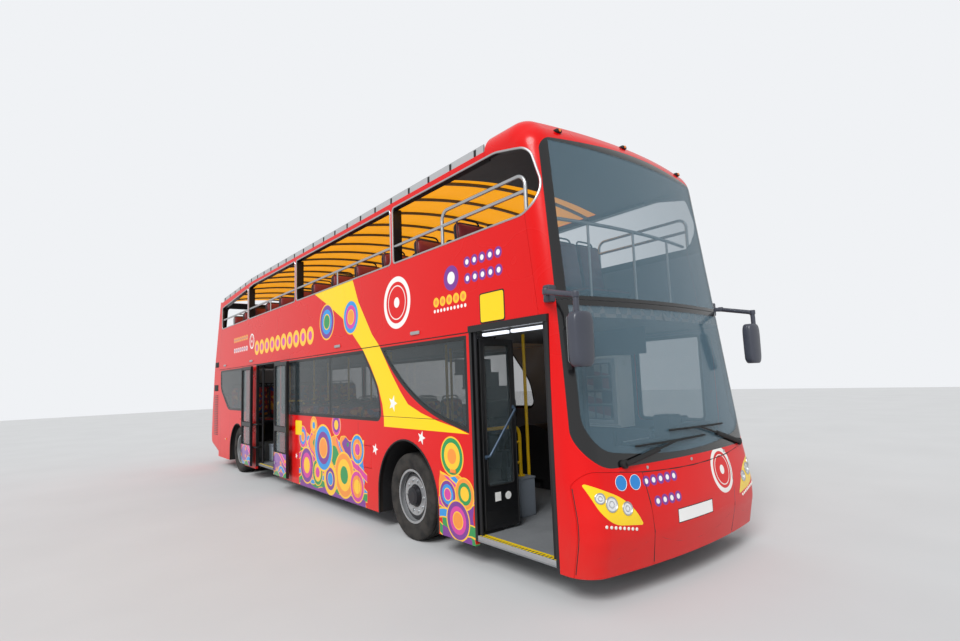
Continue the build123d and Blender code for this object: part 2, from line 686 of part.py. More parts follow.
front_frame = jamb(FRONT_DOOR_X0 - DOOR_FRAME_W, FRONT_DOOR_X0, FRONT_DOOR_TOP_Z)
front_frame += jamb(FRONT_DOOR_X1, FRONT_DOOR_X1 + DOOR_FRAME_W - SEAM, FRONT_DOOR_TOP_Z)
front_frame += block(
    FRONT_DOOR_X0 - DOOR_FRAME_W,
    FRONT_DOOR_X1 + DOOR_FRAME_W - SEAM,
    -SIDE_Y - HEADER_PROUD,
    -INNER_Y,
    FRONT_DOOR_TOP_Z,
    HEADER_TOP_Z,
)
mid_frame = jamb(MID_DOOR_X0 - DOOR_FRAME_W, MID_DOOR_X0, MID_DOOR_TOP_Z)
mid_frame += jamb(MID_DOOR_X1, MID_DOOR_X1 + DOOR_FRAME_W, MID_DOOR_TOP_Z)
mid_frame += block(
    MID_DOOR_X0 - DOOR_FRAME_W,
    MID_DOOR_X1 + DOOR_FRAME_W,
    -SIDE_Y,
    -INNER_Y,
    MID_DOOR_TOP_Z,
    LOWER_TOP_Z,
)
save("door_frames", front_frame, mid_frame)

# Front door: leaves on inward gliding posts, drawn open.
# A post turns at the jamb; its arms carry the leaf's middle, and the leaf turns back
# by twice the post's angle, so its ends keep to the door's plane and to the jamb.
POST_R = 18
GLIDE_Y = 30 - SIDE_Y
GLIDE_JAMB = 26          # from the jamb to the post's axis
GLIDE_REACH = 239        # from the post's axis to the leaf's middle
LEAF_T = 36
LEAF_END_GAP = 25        # from the post's axis to the leaf's edge
LEAF_LOW_Z = 330
LEAF_TOP_Z = FRONT_DOOR_TOP_Z - 60
ARM_T = 12
ARM_W = 24
ARM_GAP = 8
LEAF_PIN_R = 8
LEAF_PIN_CLEAR = 0.05
LEAF_PIN_DEPTH = 25
STILE = 58
LEAF_PANE_T = 6
GLASS_LOW_Z = 720


def glide_post(x):
    """Turning post with its two arms, which reach inwards in the open position."""
    post = upright(x, GLIDE_Y, FLOOR_Z + FIT, FRONT_DOOR_TOP_Z - FIT, POST_R)
    for arm_z, pin_up in ((LEAF_LOW_Z - ARM_GAP - ARM_T, True), (LEAF_TOP_Z + ARM_GAP, False)):
        end_y = GLIDE_Y + GLIDE_REACH
        post += block(x - ARM_W / 2, x + ARM_W / 2, GLIDE_Y, end_y, arm_z, arm_z + ARM_T)
        post += upright(x, end_y, arm_z, arm_z + ARM_T, ARM_W / 2)
        pin_z0 = arm_z if pin_up else LEAF_TOP_Z - LEAF_PIN_DEPTH
        pin_z1 = LEAF_LOW_Z + LEAF_PIN_DEPTH if pin_up else arm_z + ARM_T
        post += upright(x, end_y, pin_z0, pin_z1, LEAF_PIN_R)
    return post


def glide_leaf(x):
    """Open leaf, square to the side, and its pane."""
    y0 = GLIDE_Y + LEAF_END_GAP
    y1 = GLIDE_Y + 2 * GLIDE_REACH - LEAF_END_GAP
    leaf = block(x - LEAF_T / 2, x + LEAF_T / 2, y0, y1, LEAF_LOW_Z, LEAF_TOP_Z)
    light = outline(
        (y0 + STILE, GLASS_LOW_Z, 25),
        (y1 - STILE, GLASS_LOW_Z, 25),
        (y1 - STILE, LEAF_TOP_Z - STILE, 25),
        (y0 + STILE, LEAF_TOP_Z - STILE, 25),
    )
    leaf -= front_prism(light, x - LEAF_T, x + LEAF_T)
    pane = front_prism(light, x - LEAF_PANE_T / 2, x + LEAF_PANE_T / 2)
    pin_y = GLIDE_Y + GLIDE_REACH
    pin_hole_r = LEAF_PIN_R + LEAF_PIN_CLEAR
    hole_depth = LEAF_PIN_DEPTH + 5
    leaf -= upright(x, pin_y, LEAF_LOW_Z - 1, LEAF_LOW_Z + hole_depth, pin_hole_r)
    leaf -= upright(x, pin_y, LEAF_TOP_Z - hole_depth, LEAF_TOP_Z + 1, pin_hole_r)
    return leaf, pane


GLIDE_XS = {
    "rear": FRONT_DOOR_X0 + GLIDE_JAMB,
    "front": FRONT_DOOR_X1 - GLIDE_JAMB,
}
for place, post_x in GLIDE_XS.items():
    leaf, pane = glide_leaf(post_x)
    save(f"front_door_post_{place}", glide_post(post_x))
    save(f"front_door_leaf_{place}", leaf)
    save(f"front_door_pane_{place}", pane)

# Middle door: leaves on outward swinging arms, drawn open along the body.
# Each column turns inside its jamb; the leaf turns back by the same angle and so
# stays parallel to the side.
COLUMN_R = 20
COLUMN_Y = 110 - SIDE_Y
COLUMN_JAMB = 50
COLUMN_TOP_Z = UPPER_FLOOR_Z - UPPER_FLOOR_T - FIT
SWING_LEAF_T = 40
SWING_LEAF_GAP = 14      # leaf to jamb when closed
SWING_MEET_GAP = 6       # leaf to the door's middle when closed
SWING_OPEN_GAP = 60      # body to leaf when open
SWING_LEAF_W = (MID_DOOR_X1 - MID_DOOR_X0) / 2 - SWING_LEAF_GAP - SWING_MEET_GAP
SWING_SHIFT = 660        # travel of the leaf along the body
PIN_STAND = 25           # leaf's inner face to its pin
SWING_PIN_R = 8
SWING_ARM_R = 15
SWING_ARM_ZS = (600, 1020)
SWING_LOW_Z = 260
SWING_TOP_Z = MID_DOOR_TOP_Z - 8
closed_pin_y = SWING_LEAF_T + PIN_STAND - SIDE_Y
open_pin_y = PIN_STAND - SIDE_Y - SWING_OPEN_GAP
closed_rise = COLUMN_Y - closed_pin_y
open_rise = COLUMN_Y - open_pin_y
# the closed and open reaches along X add up to the shift, on one arm length
closed_reach = (SWING_SHIFT + (open_rise**2 - closed_rise**2) / SWING_SHIFT) / 2
open_reach = SWING_SHIFT - closed_reach
column_x = MID_DOOR_X0 + COLUMN_JAMB
open_pin_x = column_x - open_reach
closed_leaf_x = MID_DOOR_X0 + SWING_LEAF_GAP + SWING_LEAF_W / 2
open_leaf_x = closed_leaf_x - SWING_SHIFT
GOOSE_X = 2
GOOSE_BEND = 48


def swing_arm():
    """Rear column with two goose-necked arms, in the open position."""
    column = upright(column_x, COLUMN_Y, FLOOR_Z + FIT, COLUMN_TOP_Z, COLUMN_R)
    for arm_z in SWING_ARM_ZS:
        route = (
            (column_x, COLUMN_Y, arm_z),
            (column_x + GOOSE_X, open_pin_y, arm_z),
            (open_pin_x, open_pin_y, arm_z),
        )
        column += tube(route, SWING_ARM_R, GOOSE_BEND)
        eye = upright(open_pin_x, open_pin_y, arm_z - 18, arm_z + 18, 18)
        column += eye
    pins = SWING_PIN_R + LEAF_PIN_CLEAR
    for arm_z in SWING_ARM_ZS:
        column -= upright(open_pin_x, open_pin_y, arm_z - 40, arm_z + 40, pins)
    return column


def swing_leaf():
    """Rear leaf beside the body, with the lugs that hold its pins, and its panes."""
    x0 = open_leaf_x - SWING_LEAF_W / 2
    x1 = open_leaf_x + SWING_LEAF_W / 2
    inner_y = -SIDE_Y - SWING_OPEN_GAP
    leaf = block(x0, x1, inner_y - SWING_LEAF_T, inner_y, SWING_LOW_Z, SWING_TOP_Z)
    lights = (  # low z, high z
        (1060, SWING_TOP_Z - 60),
        (640, 980),
    )
    panes = []
    for low_z, high_z in lights:
        light = outline(
            (x0 + 55, low_z, 25), (x1 - 55, low_z, 25), (x1 - 55, high_z, 25), (x0 + 55, high_z, 25)
        )
        leaf -= side_slab(light, -1, SIDE_Y + SWING_OPEN_GAP + SWING_LEAF_T + 5, 60)
        middle = SIDE_Y + SWING_OPEN_GAP + SWING_LEAF_T / 2 + LEAF_PANE_T / 2
        panes.append(side_slab(light, -1, middle, LEAF_PANE_T))
    lug_w = 34
    for arm_z in SWING_ARM_ZS:
        for lug_z in (arm_z - 32, arm_z + 20):
            leaf += block(
                open_pin_x - lug_w / 2,
                open_pin_x + lug_w / 2,
                inner_y,
                open_pin_y + SWING_PIN_R + 4,
                lug_z,
                lug_z + 12,
            )
        leaf += upright(open_pin_x, open_pin_y, arm_z - 32, arm_z + 32, SWING_PIN_R)
    return leaf, panes


MID_DOOR_X = (MID_DOOR_X0 + MID_DOOR_X1) / 2


def fore(shape):
    """The same piece on the other side of the middle door."""
    return mirror(shape, about=Plane.YZ.offset(MID_DOOR_X))


arm = swing_arm()
leaf, leaf_panes = swing_leaf()
save("mid_door_arm_rear", arm)
save("mid_door_leaf_rear", leaf)
save("mid_door_pane_rear", *leaf_panes)
save("mid_door_arm_front", fore(arm))
save("mid_door_leaf_front", fore(leaf))
save("mid_door_pane_front", *[fore(pane) for pane in leaf_panes])

# Fuel flap, its barrel turning on the pin at the front edge of the opening
FLAP_GAP = 5
FLAP_T = 20
flap_front_x = FLAP_PIN_X - FLAP_BARREL_R - 1.5
flap_low_z = FLAP_Z0 + FLAP_GAP
flap_top_z = FLAP_Z1 - FLAP_GAP
flap = side_slab(skin(FLAP_X0 + FLAP_GAP, flap_front_x, flap_low_z, flap_top_z), -1, SIDE_Y, FLAP_T)
flap += block(
    flap_front_x - 1, FLAP_PIN_X, 1 - SIDE_Y, 7 - SIDE_Y, flap_low_z + FLAP_GAP, flap_top_z - FLAP_GAP
)
flap += upright(
    FLAP_PIN_X, FLAP_PIN_Y, flap_low_z + FLAP_GAP, flap_top_z - FLAP_GAP, FLAP_BARREL_R
)
flap -= upright(FLAP_PIN_X, FLAP_PIN_Y, flap_low_z, flap_top_z, FLAP_PIN_R + PIN_CLEAR)
save("fuel_flap", flap)

# Lower floor with its arch boxes, and the cover over the engine
ARCH_WALL_Y = SIDE_Y - 650
ARCH_WALL_T = 15
REAR_ARCH_WALL_Y = SIDE_Y - 690
ENGINE_WALL_X = TAIL_X + 1340
ENGINE_COVER_Z = 1220
FLOOR_BACK_X = TAIL_X + 300
COVER_T = 30
cabin_zone = nose_block(PANEL_T + FIT)
low_floor = block(REAR_FLOOR_X, NOSE_CUT_X, -INNER_Y, INNER_Y, FLOOR_Z - FLOOR_T, FLOOR_Z)
low_floor += cabin_zone & block(
    NOSE_CUT_X, NOSE_X, -SIDE_Y, SIDE_Y, FLOOR_Z - FLOOR_T, FLOOR_Z
)
low_floor += block(FRONT_DOOR_X0, FRONT_DOOR_X1, 2 - SIDE_Y, -INNER_Y, DOOR_LOW_Z, FLOOR_Z)
FLOOR_BLOCKS = (  # x0, x1, z0, z1
    (REAR_FLOOR_X - FLOOR_T, REAR_FLOOR_X, FLOOR_Z - FLOOR_T, REAR_FLOOR_Z),
    (ENGINE_WALL_X, REAR_FLOOR_X, REAR_FLOOR_Z - FLOOR_T, REAR_FLOOR_Z),
    (ENGINE_WALL_X, ENGINE_WALL_X + COVER_T, REAR_FLOOR_Z - FLOOR_T, ENGINE_COVER_Z),
    (FLOOR_BACK_X, ENGINE_WALL_X + COVER_T, ENGINE_COVER_Z - COVER_T, ENGINE_COVER_Z),
)
for x0, x1, z0, z1 in FLOOR_BLOCKS:
    low_floor += block(x0, x1, -INNER_Y, INNER_Y, z0, z1)
ARCH_BOXES = (  # x, z, radius, inner wall y, slot half width, slot top
    (FRONT_AXLE_X, FRONT_ARCH_Z, FRONT_ARCH_R, ARCH_WALL_Y, 190, 400),
    (REAR_AXLE_X, REAR_ARCH_Z, REAR_ARCH_R, REAR_ARCH_WALL_Y, 150, 600),
)
for x, z, radius, wall_y, slot_half, slot_top in ARCH_BOXES:
    outer_face = arch_face(x, z, radius + ARCH_WALL_T) - skin(x - 900, x + 900, -900, SKIRT_Z)
    room = side_slab(arch_face(x, z, radius), 1, INNER_Y + 1, INNER_Y + 1 - wall_y - ARCH_WALL_T)
    slot = block(x - slot_half, x + slot_half, wall_y - 5, wall_y + 100, 0, slot_top)
    liner = side_slab(outer_face, 1, INNER_Y, INNER_Y - wall_y)
    for turn in (lambda shape: shape, mirrored):
        low_floor = low_floor + turn(liner) - turn(room) - turn(slot)
save("lower_floor", low_floor)

# Upper floor with the stair opening and the beam behind the joint of the windscreens
STAIR_X0 = FRONT_AXLE_X - 1700
STAIR_X1 = FRONT_AXLE_X - 200
STAIR_Y0 = ARCH_WALL_Y - 105
UPPER_UNDER_Z = UPPER_FLOOR_Z - UPPER_FLOOR_T
upper_floor = block(TAIL_JOINT_X, NOSE_CUT_X, -INNER_Y, INNER_Y, UPPER_UNDER_Z, UPPER_FLOOR_Z)
upper_floor += cabin_zone & block(
    NOSE_CUT_X, NOSE_X, -SIDE_Y, SIDE_Y, UPPER_UNDER_Z, UPPER_FLOOR_Z
)
upper_floor -= block(
    STAIR_X0, STAIR_X1, STAIR_Y0, INNER_Y - 5, UPPER_UNDER_Z - 1, UPPER_FLOOR_Z + 1
)
save("upper_floor", upper_floor + screen_beam)

# Staircase on the left, rising rearwards over the front wheel, and its guard above
STAIR_STEPS = 8
TREAD_T = 30
RISER_T = 20
GUARD_TOP_Z = UPPER_FLOOR_Z + 850
GUARD_T = 20
stair_y1 = INNER_Y - 5
stair_rise = (UPPER_FLOOR_Z - FLOOR_Z) / (STAIR_STEPS + 1)
stair_run = (STAIR_X1 - STAIR_X0) / STAIR_STEPS
staircase = block(
    STAIR_X1 - stair_run, STAIR_X1, STAIR_Y0, ARCH_WALL_Y, FLOOR_Z, FLOOR_Z + stair_rise
)
for index in range(STAIR_STEPS):
    top_z = FLOOR_Z + (index + 1) * stair_rise
    front_x = STAIR_X1 - index * stair_run
    back_x = front_x - stair_run - RISER_T
    low_z = top_z - stair_rise - TREAD_T
    over_arch = top_z >= FRONT_ARCH_Z + FRONT_ARCH_R + ARCH_WALL_T + stair_rise
    outer_y = stair_y1 if over_arch else ARCH_WALL_Y
    staircase += block(back_x, front_x, STAIR_Y0, outer_y, top_z - TREAD_T, top_z)
    if index > 0:
        staircase += block(front_x, front_x + RISER_T, STAIR_Y0, outer_y, low_z, top_z)
guard = block(
    STAIR_X0 - GUARD_T, STAIR_X0, STAIR_Y0 - GUARD_T, stair_y1, UPPER_FLOOR_Z, GUARD_TOP_Z
)
guard += block(
    STAIR_X0, STAIR_X1 - 600, STAIR_Y0 - GUARD_T, STAIR_Y0, UPPER_FLOOR_Z, GUARD_TOP_Z
)
save("staircase", staircase, guard)

# Chassis frame
RAIL_Y = 400
RAIL_W = 80
CHASSIS_LOW_Z = 170
CHASSIS_TOP_Z = FLOOR_Z - FLOOR_T
REAR_MEMBER_LOW_Z = 515
REAR_MEMBER_TOP_Z = REAR_FLOOR_Z - FLOOR_T
RISER_BACK_X = REAR_FLOOR_X - FLOOR_T
AXLE_TUBE_R = 100
WHEEL_Z = TYRE_R
BEAM_LOW_Z = 125
BEAM_TOP_Z = 195
SEAT_H = 10
NOTCH = 130
CRADLE_LOW_Z = 340
CRADLE_BACK_X = TAIL_X + 660
ENGINE_LOW_Z = 400
ENGINE_BACK_X = TAIL_X + 450
ENGINE_FRONT_X = ENGINE_WALL_X - 40
RAIL_BLOCKS = (  # x0, x1, z0, z1
    (RISER_BACK_X - RAIL_W, RISER_BACK_X, CHASSIS_LOW_Z, REAR_MEMBER_TOP_Z),
    (ENGINE_WALL_X, RISER_BACK_X, REAR_MEMBER_LOW_Z, REAR_MEMBER_TOP_Z),
    (ENGINE_WALL_X - 30, ENGINE_WALL_X, CRADLE_LOW_Z, REAR_MEMBER_TOP_Z),
    (CRADLE_BACK_X, ENGINE_WALL_X, CRADLE_LOW_Z, ENGINE_LOW_Z),
)
rail_y0 = RAIL_Y - RAIL_W / 2
rail_y1 = RAIL_Y + RAIL_W / 2
side_member = block(RISER_BACK_X, NOSE_X - 340, rail_y0, rail_y1, CHASSIS_LOW_Z, CHASSIS_TOP_Z)
for x0, x1, z0, z1 in RAIL_BLOCKS:
    side_member += block(x0, x1, rail_y0, rail_y1, z0, z1)
AXLE_SEATS = (  # x, top of the axle
    (FRONT_AXLE_X, BEAM_TOP_Z),
    (REAR_AXLE_X, WHEEL_Z + AXLE_TUBE_R),
)
for x, axle_top in AXLE_SEATS:
    side_member -= block(x - NOTCH, x + NOTCH, rail_y0 - 1, rail_y1 + 1, 0, axle_top + SEAT_H)
    side_member += block(x - 40, x + 40, rail_y0, rail_y1, axle_top, axle_top + SEAT_H + 1)
chassis = side_member + mirrored(side_member)
CROSS_MEMBERS = (  # x, low z, high z
    (NOSE_X - 500, 200, CHASSIS_TOP_Z),
    (FRONT_AXLE_X + 1000, 200, CHASSIS_TOP_Z),
    (FRONT_AXLE_X - 900, 200, CHASSIS_TOP_Z),
    (FRONT_AXLE_X - 2300, 200, CHASSIS_TOP_Z),
    (MID_DOOR_X1 + 250, 200, CHASSIS_TOP_Z),
    (MID_DOOR_X0 + 50, 200, CHASSIS_TOP_Z),
    (REAR_AXLE_X + 650, 530, REAR_MEMBER_TOP_Z),
    (ENGINE_WALL_X + 210, 530, REAR_MEMBER_TOP_Z),
    (CRADLE_BACK_X + 30, CRADLE_LOW_Z, ENGINE_LOW_Z),
)
for x, z0, z1 in CROSS_MEMBERS:
    chassis += block(x - 30, x + 30, -rail_y0, rail_y0, z0, z1)
save("chassis_frame", chassis)
ENGINE_HALF = 450
ENGINE_TOP_Z = ENGINE_COVER_Z - 70
engine = block(
    ENGINE_BACK_X, ENGINE_FRONT_X, -ENGINE_HALF, ENGINE_HALF, ENGINE_LOW_Z, ENGINE_TOP_Z
)
save("engine_block", engine)

# Front axle beam and steering knuckles
BOSS_R = 55
BOSS_H = 120
FORK_GAP = 5
FORK_T = 35
FORK_R = 42
STUB_R = 45
BEAM_W = 90
boss_z0 = WHEEL_Z - BOSS_H / 2
boss_z1 = WHEEL_Z + BOSS_H / 2
beam_face = outline(
    (295 - KING_PIN_Y, BEAM_LOW_Z, 40),
    (KING_PIN_Y - 295, BEAM_LOW_Z, 40),
    (KING_PIN_Y - 115, boss_z0, 60),
    (KING_PIN_Y, boss_z0),
    (KING_PIN_Y, boss_z1),
    (KING_PIN_Y - 185, boss_z1, 60),
    (KING_PIN_Y - 335, BEAM_TOP_Z, 60),
    (335 - KING_PIN_Y, BEAM_TOP_Z, 60),
    (185 - KING_PIN_Y, boss_z1, 60),
    (-KING_PIN_Y, boss_z1),
    (-KING_PIN_Y, boss_z0),
    (115 - KING_PIN_Y, boss_z0, 60),
)
beam = front_prism(beam_face, FRONT_AXLE_X - BEAM_W / 2, FRONT_AXLE_X + BEAM_W / 2)
for side in (-1, 1):
    beam += upright(FRONT_AXLE_X, side * KING_PIN_Y, boss_z0, boss_z1, BOSS_R)
for side in (-1, 1):
    pin_hole = KING_PIN_R + PIN_CLEAR
    beam -= upright(FRONT_AXLE_X, side * KING_PIN_Y, boss_z0 - 1, boss_z1 + 1, pin_hole)
save("front_axle", beam)

fork_low_z = boss_z0 - FORK_GAP - FORK_T
fork_top_z = boss_z1 + FORK_GAP + FORK_T
fork_y = KING_PIN_Y + BOSS_R + FORK_GAP
FORK_WALL = 16
HUB_GAP = 8
hub_y0 = fork_y + FORK_WALL + HUB_GAP
STUB_LEN = 90
knuckle = upright(FRONT_AXLE_X, KING_PIN_Y, fork_low_z, fork_top_z, KING_PIN_R)
for z0 in (fork_low_z, boss_z1 + FORK_GAP):
    knuckle += upright(FRONT_AXLE_X, KING_PIN_Y, z0, z0 + FORK_T, FORK_R)
    knuckle += block(
        FRONT_AXLE_X - FORK_R, FRONT_AXLE_X + FORK_R, KING_PIN_Y, fork_y + 1, z0, z0 + FORK_T
    )
knuckle += block(
    FRONT_AXLE_X - FORK_R,
    FRONT_AXLE_X + FORK_R,
    fork_y,
    fork_y + FORK_WALL,
    fork_low_z,
    fork_top_z,
)
knuckle += crossbar(FRONT_AXLE_X, WHEEL_Z, fork_y, hub_y0 + STUB_LEN, STUB_R)
save("left_knuckle", knuckle)
save("right_knuckle", mirrored(knuckle))

# Rear axle with its brake drums
REAR_STUB_R = 60
DRUM_R = 200
AXLE_BALL_R = 135
tube_end = REAR_WHEEL_Y - 445
drum_end = REAR_WHEEL_Y - 225
rear_stub_end = REAR_WHEEL_Y + 5
rear_axle = crossbar(REAR_AXLE_X, WHEEL_Z, -tube_end, tube_end, AXLE_TUBE_R)
rear_axle += crossbar(REAR_AXLE_X, WHEEL_Z, -rear_stub_end, rear_stub_end, REAR_STUB_R)
for side in (-1, 1):
    y0, y1 = sorted((side * tube_end, side * drum_end))
    rear_axle += crossbar(REAR_AXLE_X, WHEEL_Z, y0, y1, DRUM_R)
rear_axle += Pos(REAR_AXLE_X, 0, WHEEL_Z) * Sphere(AXLE_BALL_R)
save("rear_axle", rear_axle)

# Tyres and rims, turned from a half section: (radius, distance across the wheel)
TYRE_SECTION = (
    (RIM_R, -TYRE_W / 2 + 34),
    (RIM_R + 30, -TYRE_W / 2 + 6),
    (TYRE_R - 90, -TYRE_W / 2),
    (TYRE_R - 22, -TYRE_W / 2 + 10),
    (TYRE_R, -TYRE_W / 2 + 34),
    (TYRE_R, TYRE_W / 2 - 34),
    (TYRE_R - 22, TYRE_W / 2 - 10),
    (TYRE_R - 90, TYRE_W / 2),
    (RIM_R + 30, TYRE_W / 2 - 6),
    (RIM_R, TYRE_W / 2 - 34),
)
RIM_T = 16
RIM_HALF = 108
HUB_R = 88
FRONT_RIM_SECTION = (
    (STUB_R + PIN_CLEAR, hub_y0 - FRONT_WHEEL_Y),
    (HUB_R, hub_y0 - FRONT_WHEEL_Y),
    (HUB_R, 40),
    (150, 52),
    (205, 60),
    (RIM_R - RIM_T, 20),
    (RIM_R - RIM_T, -RIM_HALF),
    (RIM_R - FIT, -RIM_HALF),
    (RIM_R - FIT, RIM_HALF),
    (RIM_R - RIM_T, RIM_HALF),
    (RIM_R - RIM_T, 50),
    (208, 76),
    (140, 66),
    (105, 66),
    (95, 112),
    (60, 122),
    (0, 122),
    (0, hub_y0 + STUB_LEN - FRONT_WHEEL_Y + 5),
    (STUB_R + PIN_CLEAR, hub_y0 + STUB_LEN - FRONT_WHEEL_Y + 5),
)
twin_mid = -TWIN_PITCH / 2
REAR_RIM_SECTION = (
    (REAR_STUB_R + PIN_CLEAR, twin_mid - 30),
    (120, twin_mid - 30),
    (120, twin_mid - 15),
    (RIM_R - RIM_T, twin_mid - 15),
    (RIM_R - RIM_T, -TWIN_PITCH - RIM_HALF),
    (RIM_R - FIT, -TWIN_PITCH - RIM_HALF),
    (RIM_R - FIT, RIM_HALF),
    (RIM_R - RIM_T, RIM_HALF),
    (RIM_R - RIM_T, -70),
    (215, -115),
    (130, twin_mid + 25),
    (120, 15),
    (90, 30),
    (0, 30),
    (0, 10),
    (REAR_STUB_R + PIN_CLEAR, 10),
)


def turned(section, x, y):
    """Piece turned about a wheel's axle; y is the wheel's middle plane."""
    points = [(x + radius, y + across) for radius, across in section]
    profile = Pos(0, 0, WHEEL_Z) * make_face(Polyline(*points, close=True))
    return revolve(profile, axis=Axis((x, 0, WHEEL_Z), (0, 1, 0)))


front_rim = turned(FRONT_RIM_SECTION, FRONT_AXLE_X, FRONT_WHEEL_Y)
front_tyre = turned(TYRE_SECTION, FRONT_AXLE_X, FRONT_WHEEL_Y)
rear_rims = turned(REAR_RIM_SECTION, REAR_AXLE_X, REAR_WHEEL_Y)
outer_tyre = turned(TYRE_SECTION, REAR_AXLE_X, REAR_WHEEL_Y)
inner_tyre = turned(TYRE_SECTION, REAR_AXLE_X, REAR_WHEEL_Y - TWIN_PITCH)
save("left_front_rim", front_rim)
save("right_front_rim", mirrored(front_rim))
save("left_front_tyre", front_tyre)
save("right_front_tyre", mirrored(front_tyre))
save("left_rear_rims", rear_rims)
save("right_rear_rims", mirrored(rear_rims))
save("left_rear_tyres", outer_tyre, inner_tyre)
save("right_rear_tyres", mirrored(outer_tyre), mirrored(inner_tyre))

# Seats: one section for all of them, drawn round the seat's middle at floor level
SEAT_SECTION = (
    (-215, 385, 20),
    (225, 385, 20),
    (235, 465, 30),
    (-130, 455, 40),
    (-235, 1120, 25),
    (-295, 1110, 25),
)
LEG_T = 60
AISLE_Y = 330            # from the bus's middle to a seat's inner side
SEAT_OUTER_Y = INNER_Y - 15
SEAT_PITCH = 750
REAR_PITCH = 600         # least pitch of the rows on the raised floor
LOWER_ROWS = (  # first x, least x of the last, pitch, floor z, side
    (FRONT_AXLE_X - 950, MID_DOOR_X1 + 700, SEAT_PITCH, FLOOR_Z, -1),
    (STAIR_X0 - 350, REAR_FLOOR_X + 600, SEAT_PITCH, FLOOR_Z, 1),
    (MID_DOOR_X0 - 700, ENGINE_WALL_X + 340, REAR_PITCH, REAR_FLOOR_Z, -1),
    (MID_DOOR_X0 - 700, ENGINE_WALL_X + 340, REAR_PITCH, REAR_FLOOR_Z, 1),
)
BENCH_X = TAIL_X + 970
BENCH_HALF = INNER_Y - 25
DRIVER_SEAT = (NOSE_X - 1210, FLOOR_Z, 560, 1000)
UPPER_SEAT_PITCH = 780
UPPER_SEAT_FIRST_X = NOSE_X - 1600
UPPER_SEAT_ROWS = int((UPPER_SEAT_FIRST_X - REAR_BAY_X - 500) / UPPER_SEAT_PITCH) + 1
UPPER_AISLE_Y = 310
UPPER_SEAT_OUTER_Y = INNER_Y - 85


def seat(x, floor_z, y0, y1, leg=True):
    """Double seat with its leg."""
    low_y, high_y = sorted((y0, y1))
    section = outline(*[(x + dx, floor_z + z, r) for dx, z, r in SEAT_SECTION])
    shape = side_slab(section, 1, high_y, high_y - low_y)
    if leg:
        leg_y = y0 + math.copysign(120, y0)
        shape += block(
            x - LEG_T, x + LEG_T, leg_y - LEG_T / 2, leg_y + LEG_T / 2, floor_z, floor_z + 386
        )
    return shape


lower_seats = [seat(*DRIVER_SEAT)]
for first_x, last_x, pitch, floor_z, side in LOWER_ROWS:
    gaps = int((first_x - last_x) / pitch)
    step = (first_x - last_x) / gaps if floor_z == REAR_FLOOR_Z else pitch
    for index in range(gaps + 1):
        seat_x = first_x - index * step
        lower_seats.append(seat(seat_x, floor_z, side * AISLE_Y, side * SEAT_OUTER_Y))
bench_floor = ENGINE_COVER_Z - SEAT_SECTION[0][1]
lower_seats.append(seat(BENCH_X, bench_floor, -BENCH_HALF, BENCH_HALF, leg=False))
save("lower_seats", *lower_seats)
upper_seats = []
for index in range(UPPER_SEAT_ROWS):
    seat_x = UPPER_SEAT_FIRST_X - index * UPPER_SEAT_PITCH
    upper_seats.append(seat(seat_x, UPPER_FLOOR_Z, -UPPER_AISLE_Y, -UPPER_SEAT_OUTER_Y))
    over_stairs = STAIR_X0 - 300 < seat_x < STAIR_X1 + 300
    if not over_stairs:
        upper_seats.append(seat(seat_x, UPPER_FLOOR_Z, UPPER_AISLE_Y, UPPER_SEAT_OUTER_Y))
save("upper_seats", *upper_seats)

# Driver's cab: partition, cabinet, console and steering wheel
CAB_Y = 300
CAB_X0 = FRONT_AXLE_X + FRONT_ARCH_R + ARCH_WALL_T + 15
CAB_X1 = NOSE_X - 650
CAB_LOW_TOP_Z = 1150
CABINET_TOP_Z = UPPER_UNDER_Z - 270
PARTITION_T = 25
CABINET_DEPTH = 240
partition = block(CAB_X0, CAB_X1, CAB_Y, CAB_Y + PARTITION_T, FLOOR_Z, CAB_LOW_TOP_Z)
partition += block(
    CAB_X0, CAB_X0 + PARTITION_T, CAB_Y, INNER_Y, FLOOR_Z, UPPER_UNDER_Z
)
partition += block(
    CAB_X0, CAB_X1, CAB_Y, CAB_Y + PARTITION_T, CABINET_TOP_Z, UPPER_UNDER_Z
)
save("cab_partition", partition)
cabinet = block(
    CAB_X0 + PARTITION_T,
    CAB_X1 - 350,
    CAB_Y,
    CAB_Y + CABINET_DEPTH,
    CAB_LOW_TOP_Z,
    CABINET_TOP_Z,
)
save("cab_cabinet", cabinet)
CONSOLE_X0 = NOSE_X - 570
CONSOLE_TOP_Z = 1060
WHEEL_CENTRE = (NOSE_X - 770, 780, 1150)
WHEEL_TILT = 25          # of the wheel's plane from level
HANDWHEEL_R = 225
HUB_H = 44
console = cabin_zone & block(CONSOLE_X0, NOSE_X, -330, SIDE_Y - 155, FLOOR_Z, CONSOLE_TOP_Z)
handwheel_place = Pos(*WHEEL_CENTRE) * Rot(0, -WHEEL_TILT, 0)
shaft_len = 540
console += handwheel_place * Pos(0, 0, -HUB_H / 2 - FIT - shaft_len / 2) * Cylinder(22, shaft_len)
save("driver_console", console)
handwheel = Cylinder(HANDWHEEL_R, 28) - Cylinder(HANDWHEEL_R - 28, 30)
handwheel += Box(2 * HANDWHEEL_R - 30, 34, 14) + Box(34, HANDWHEEL_R - 15, 14, align=Align.MIN)
handwheel += Cylinder(60, HUB_H)
save("steering_wheel", handwheel_place * handwheel)

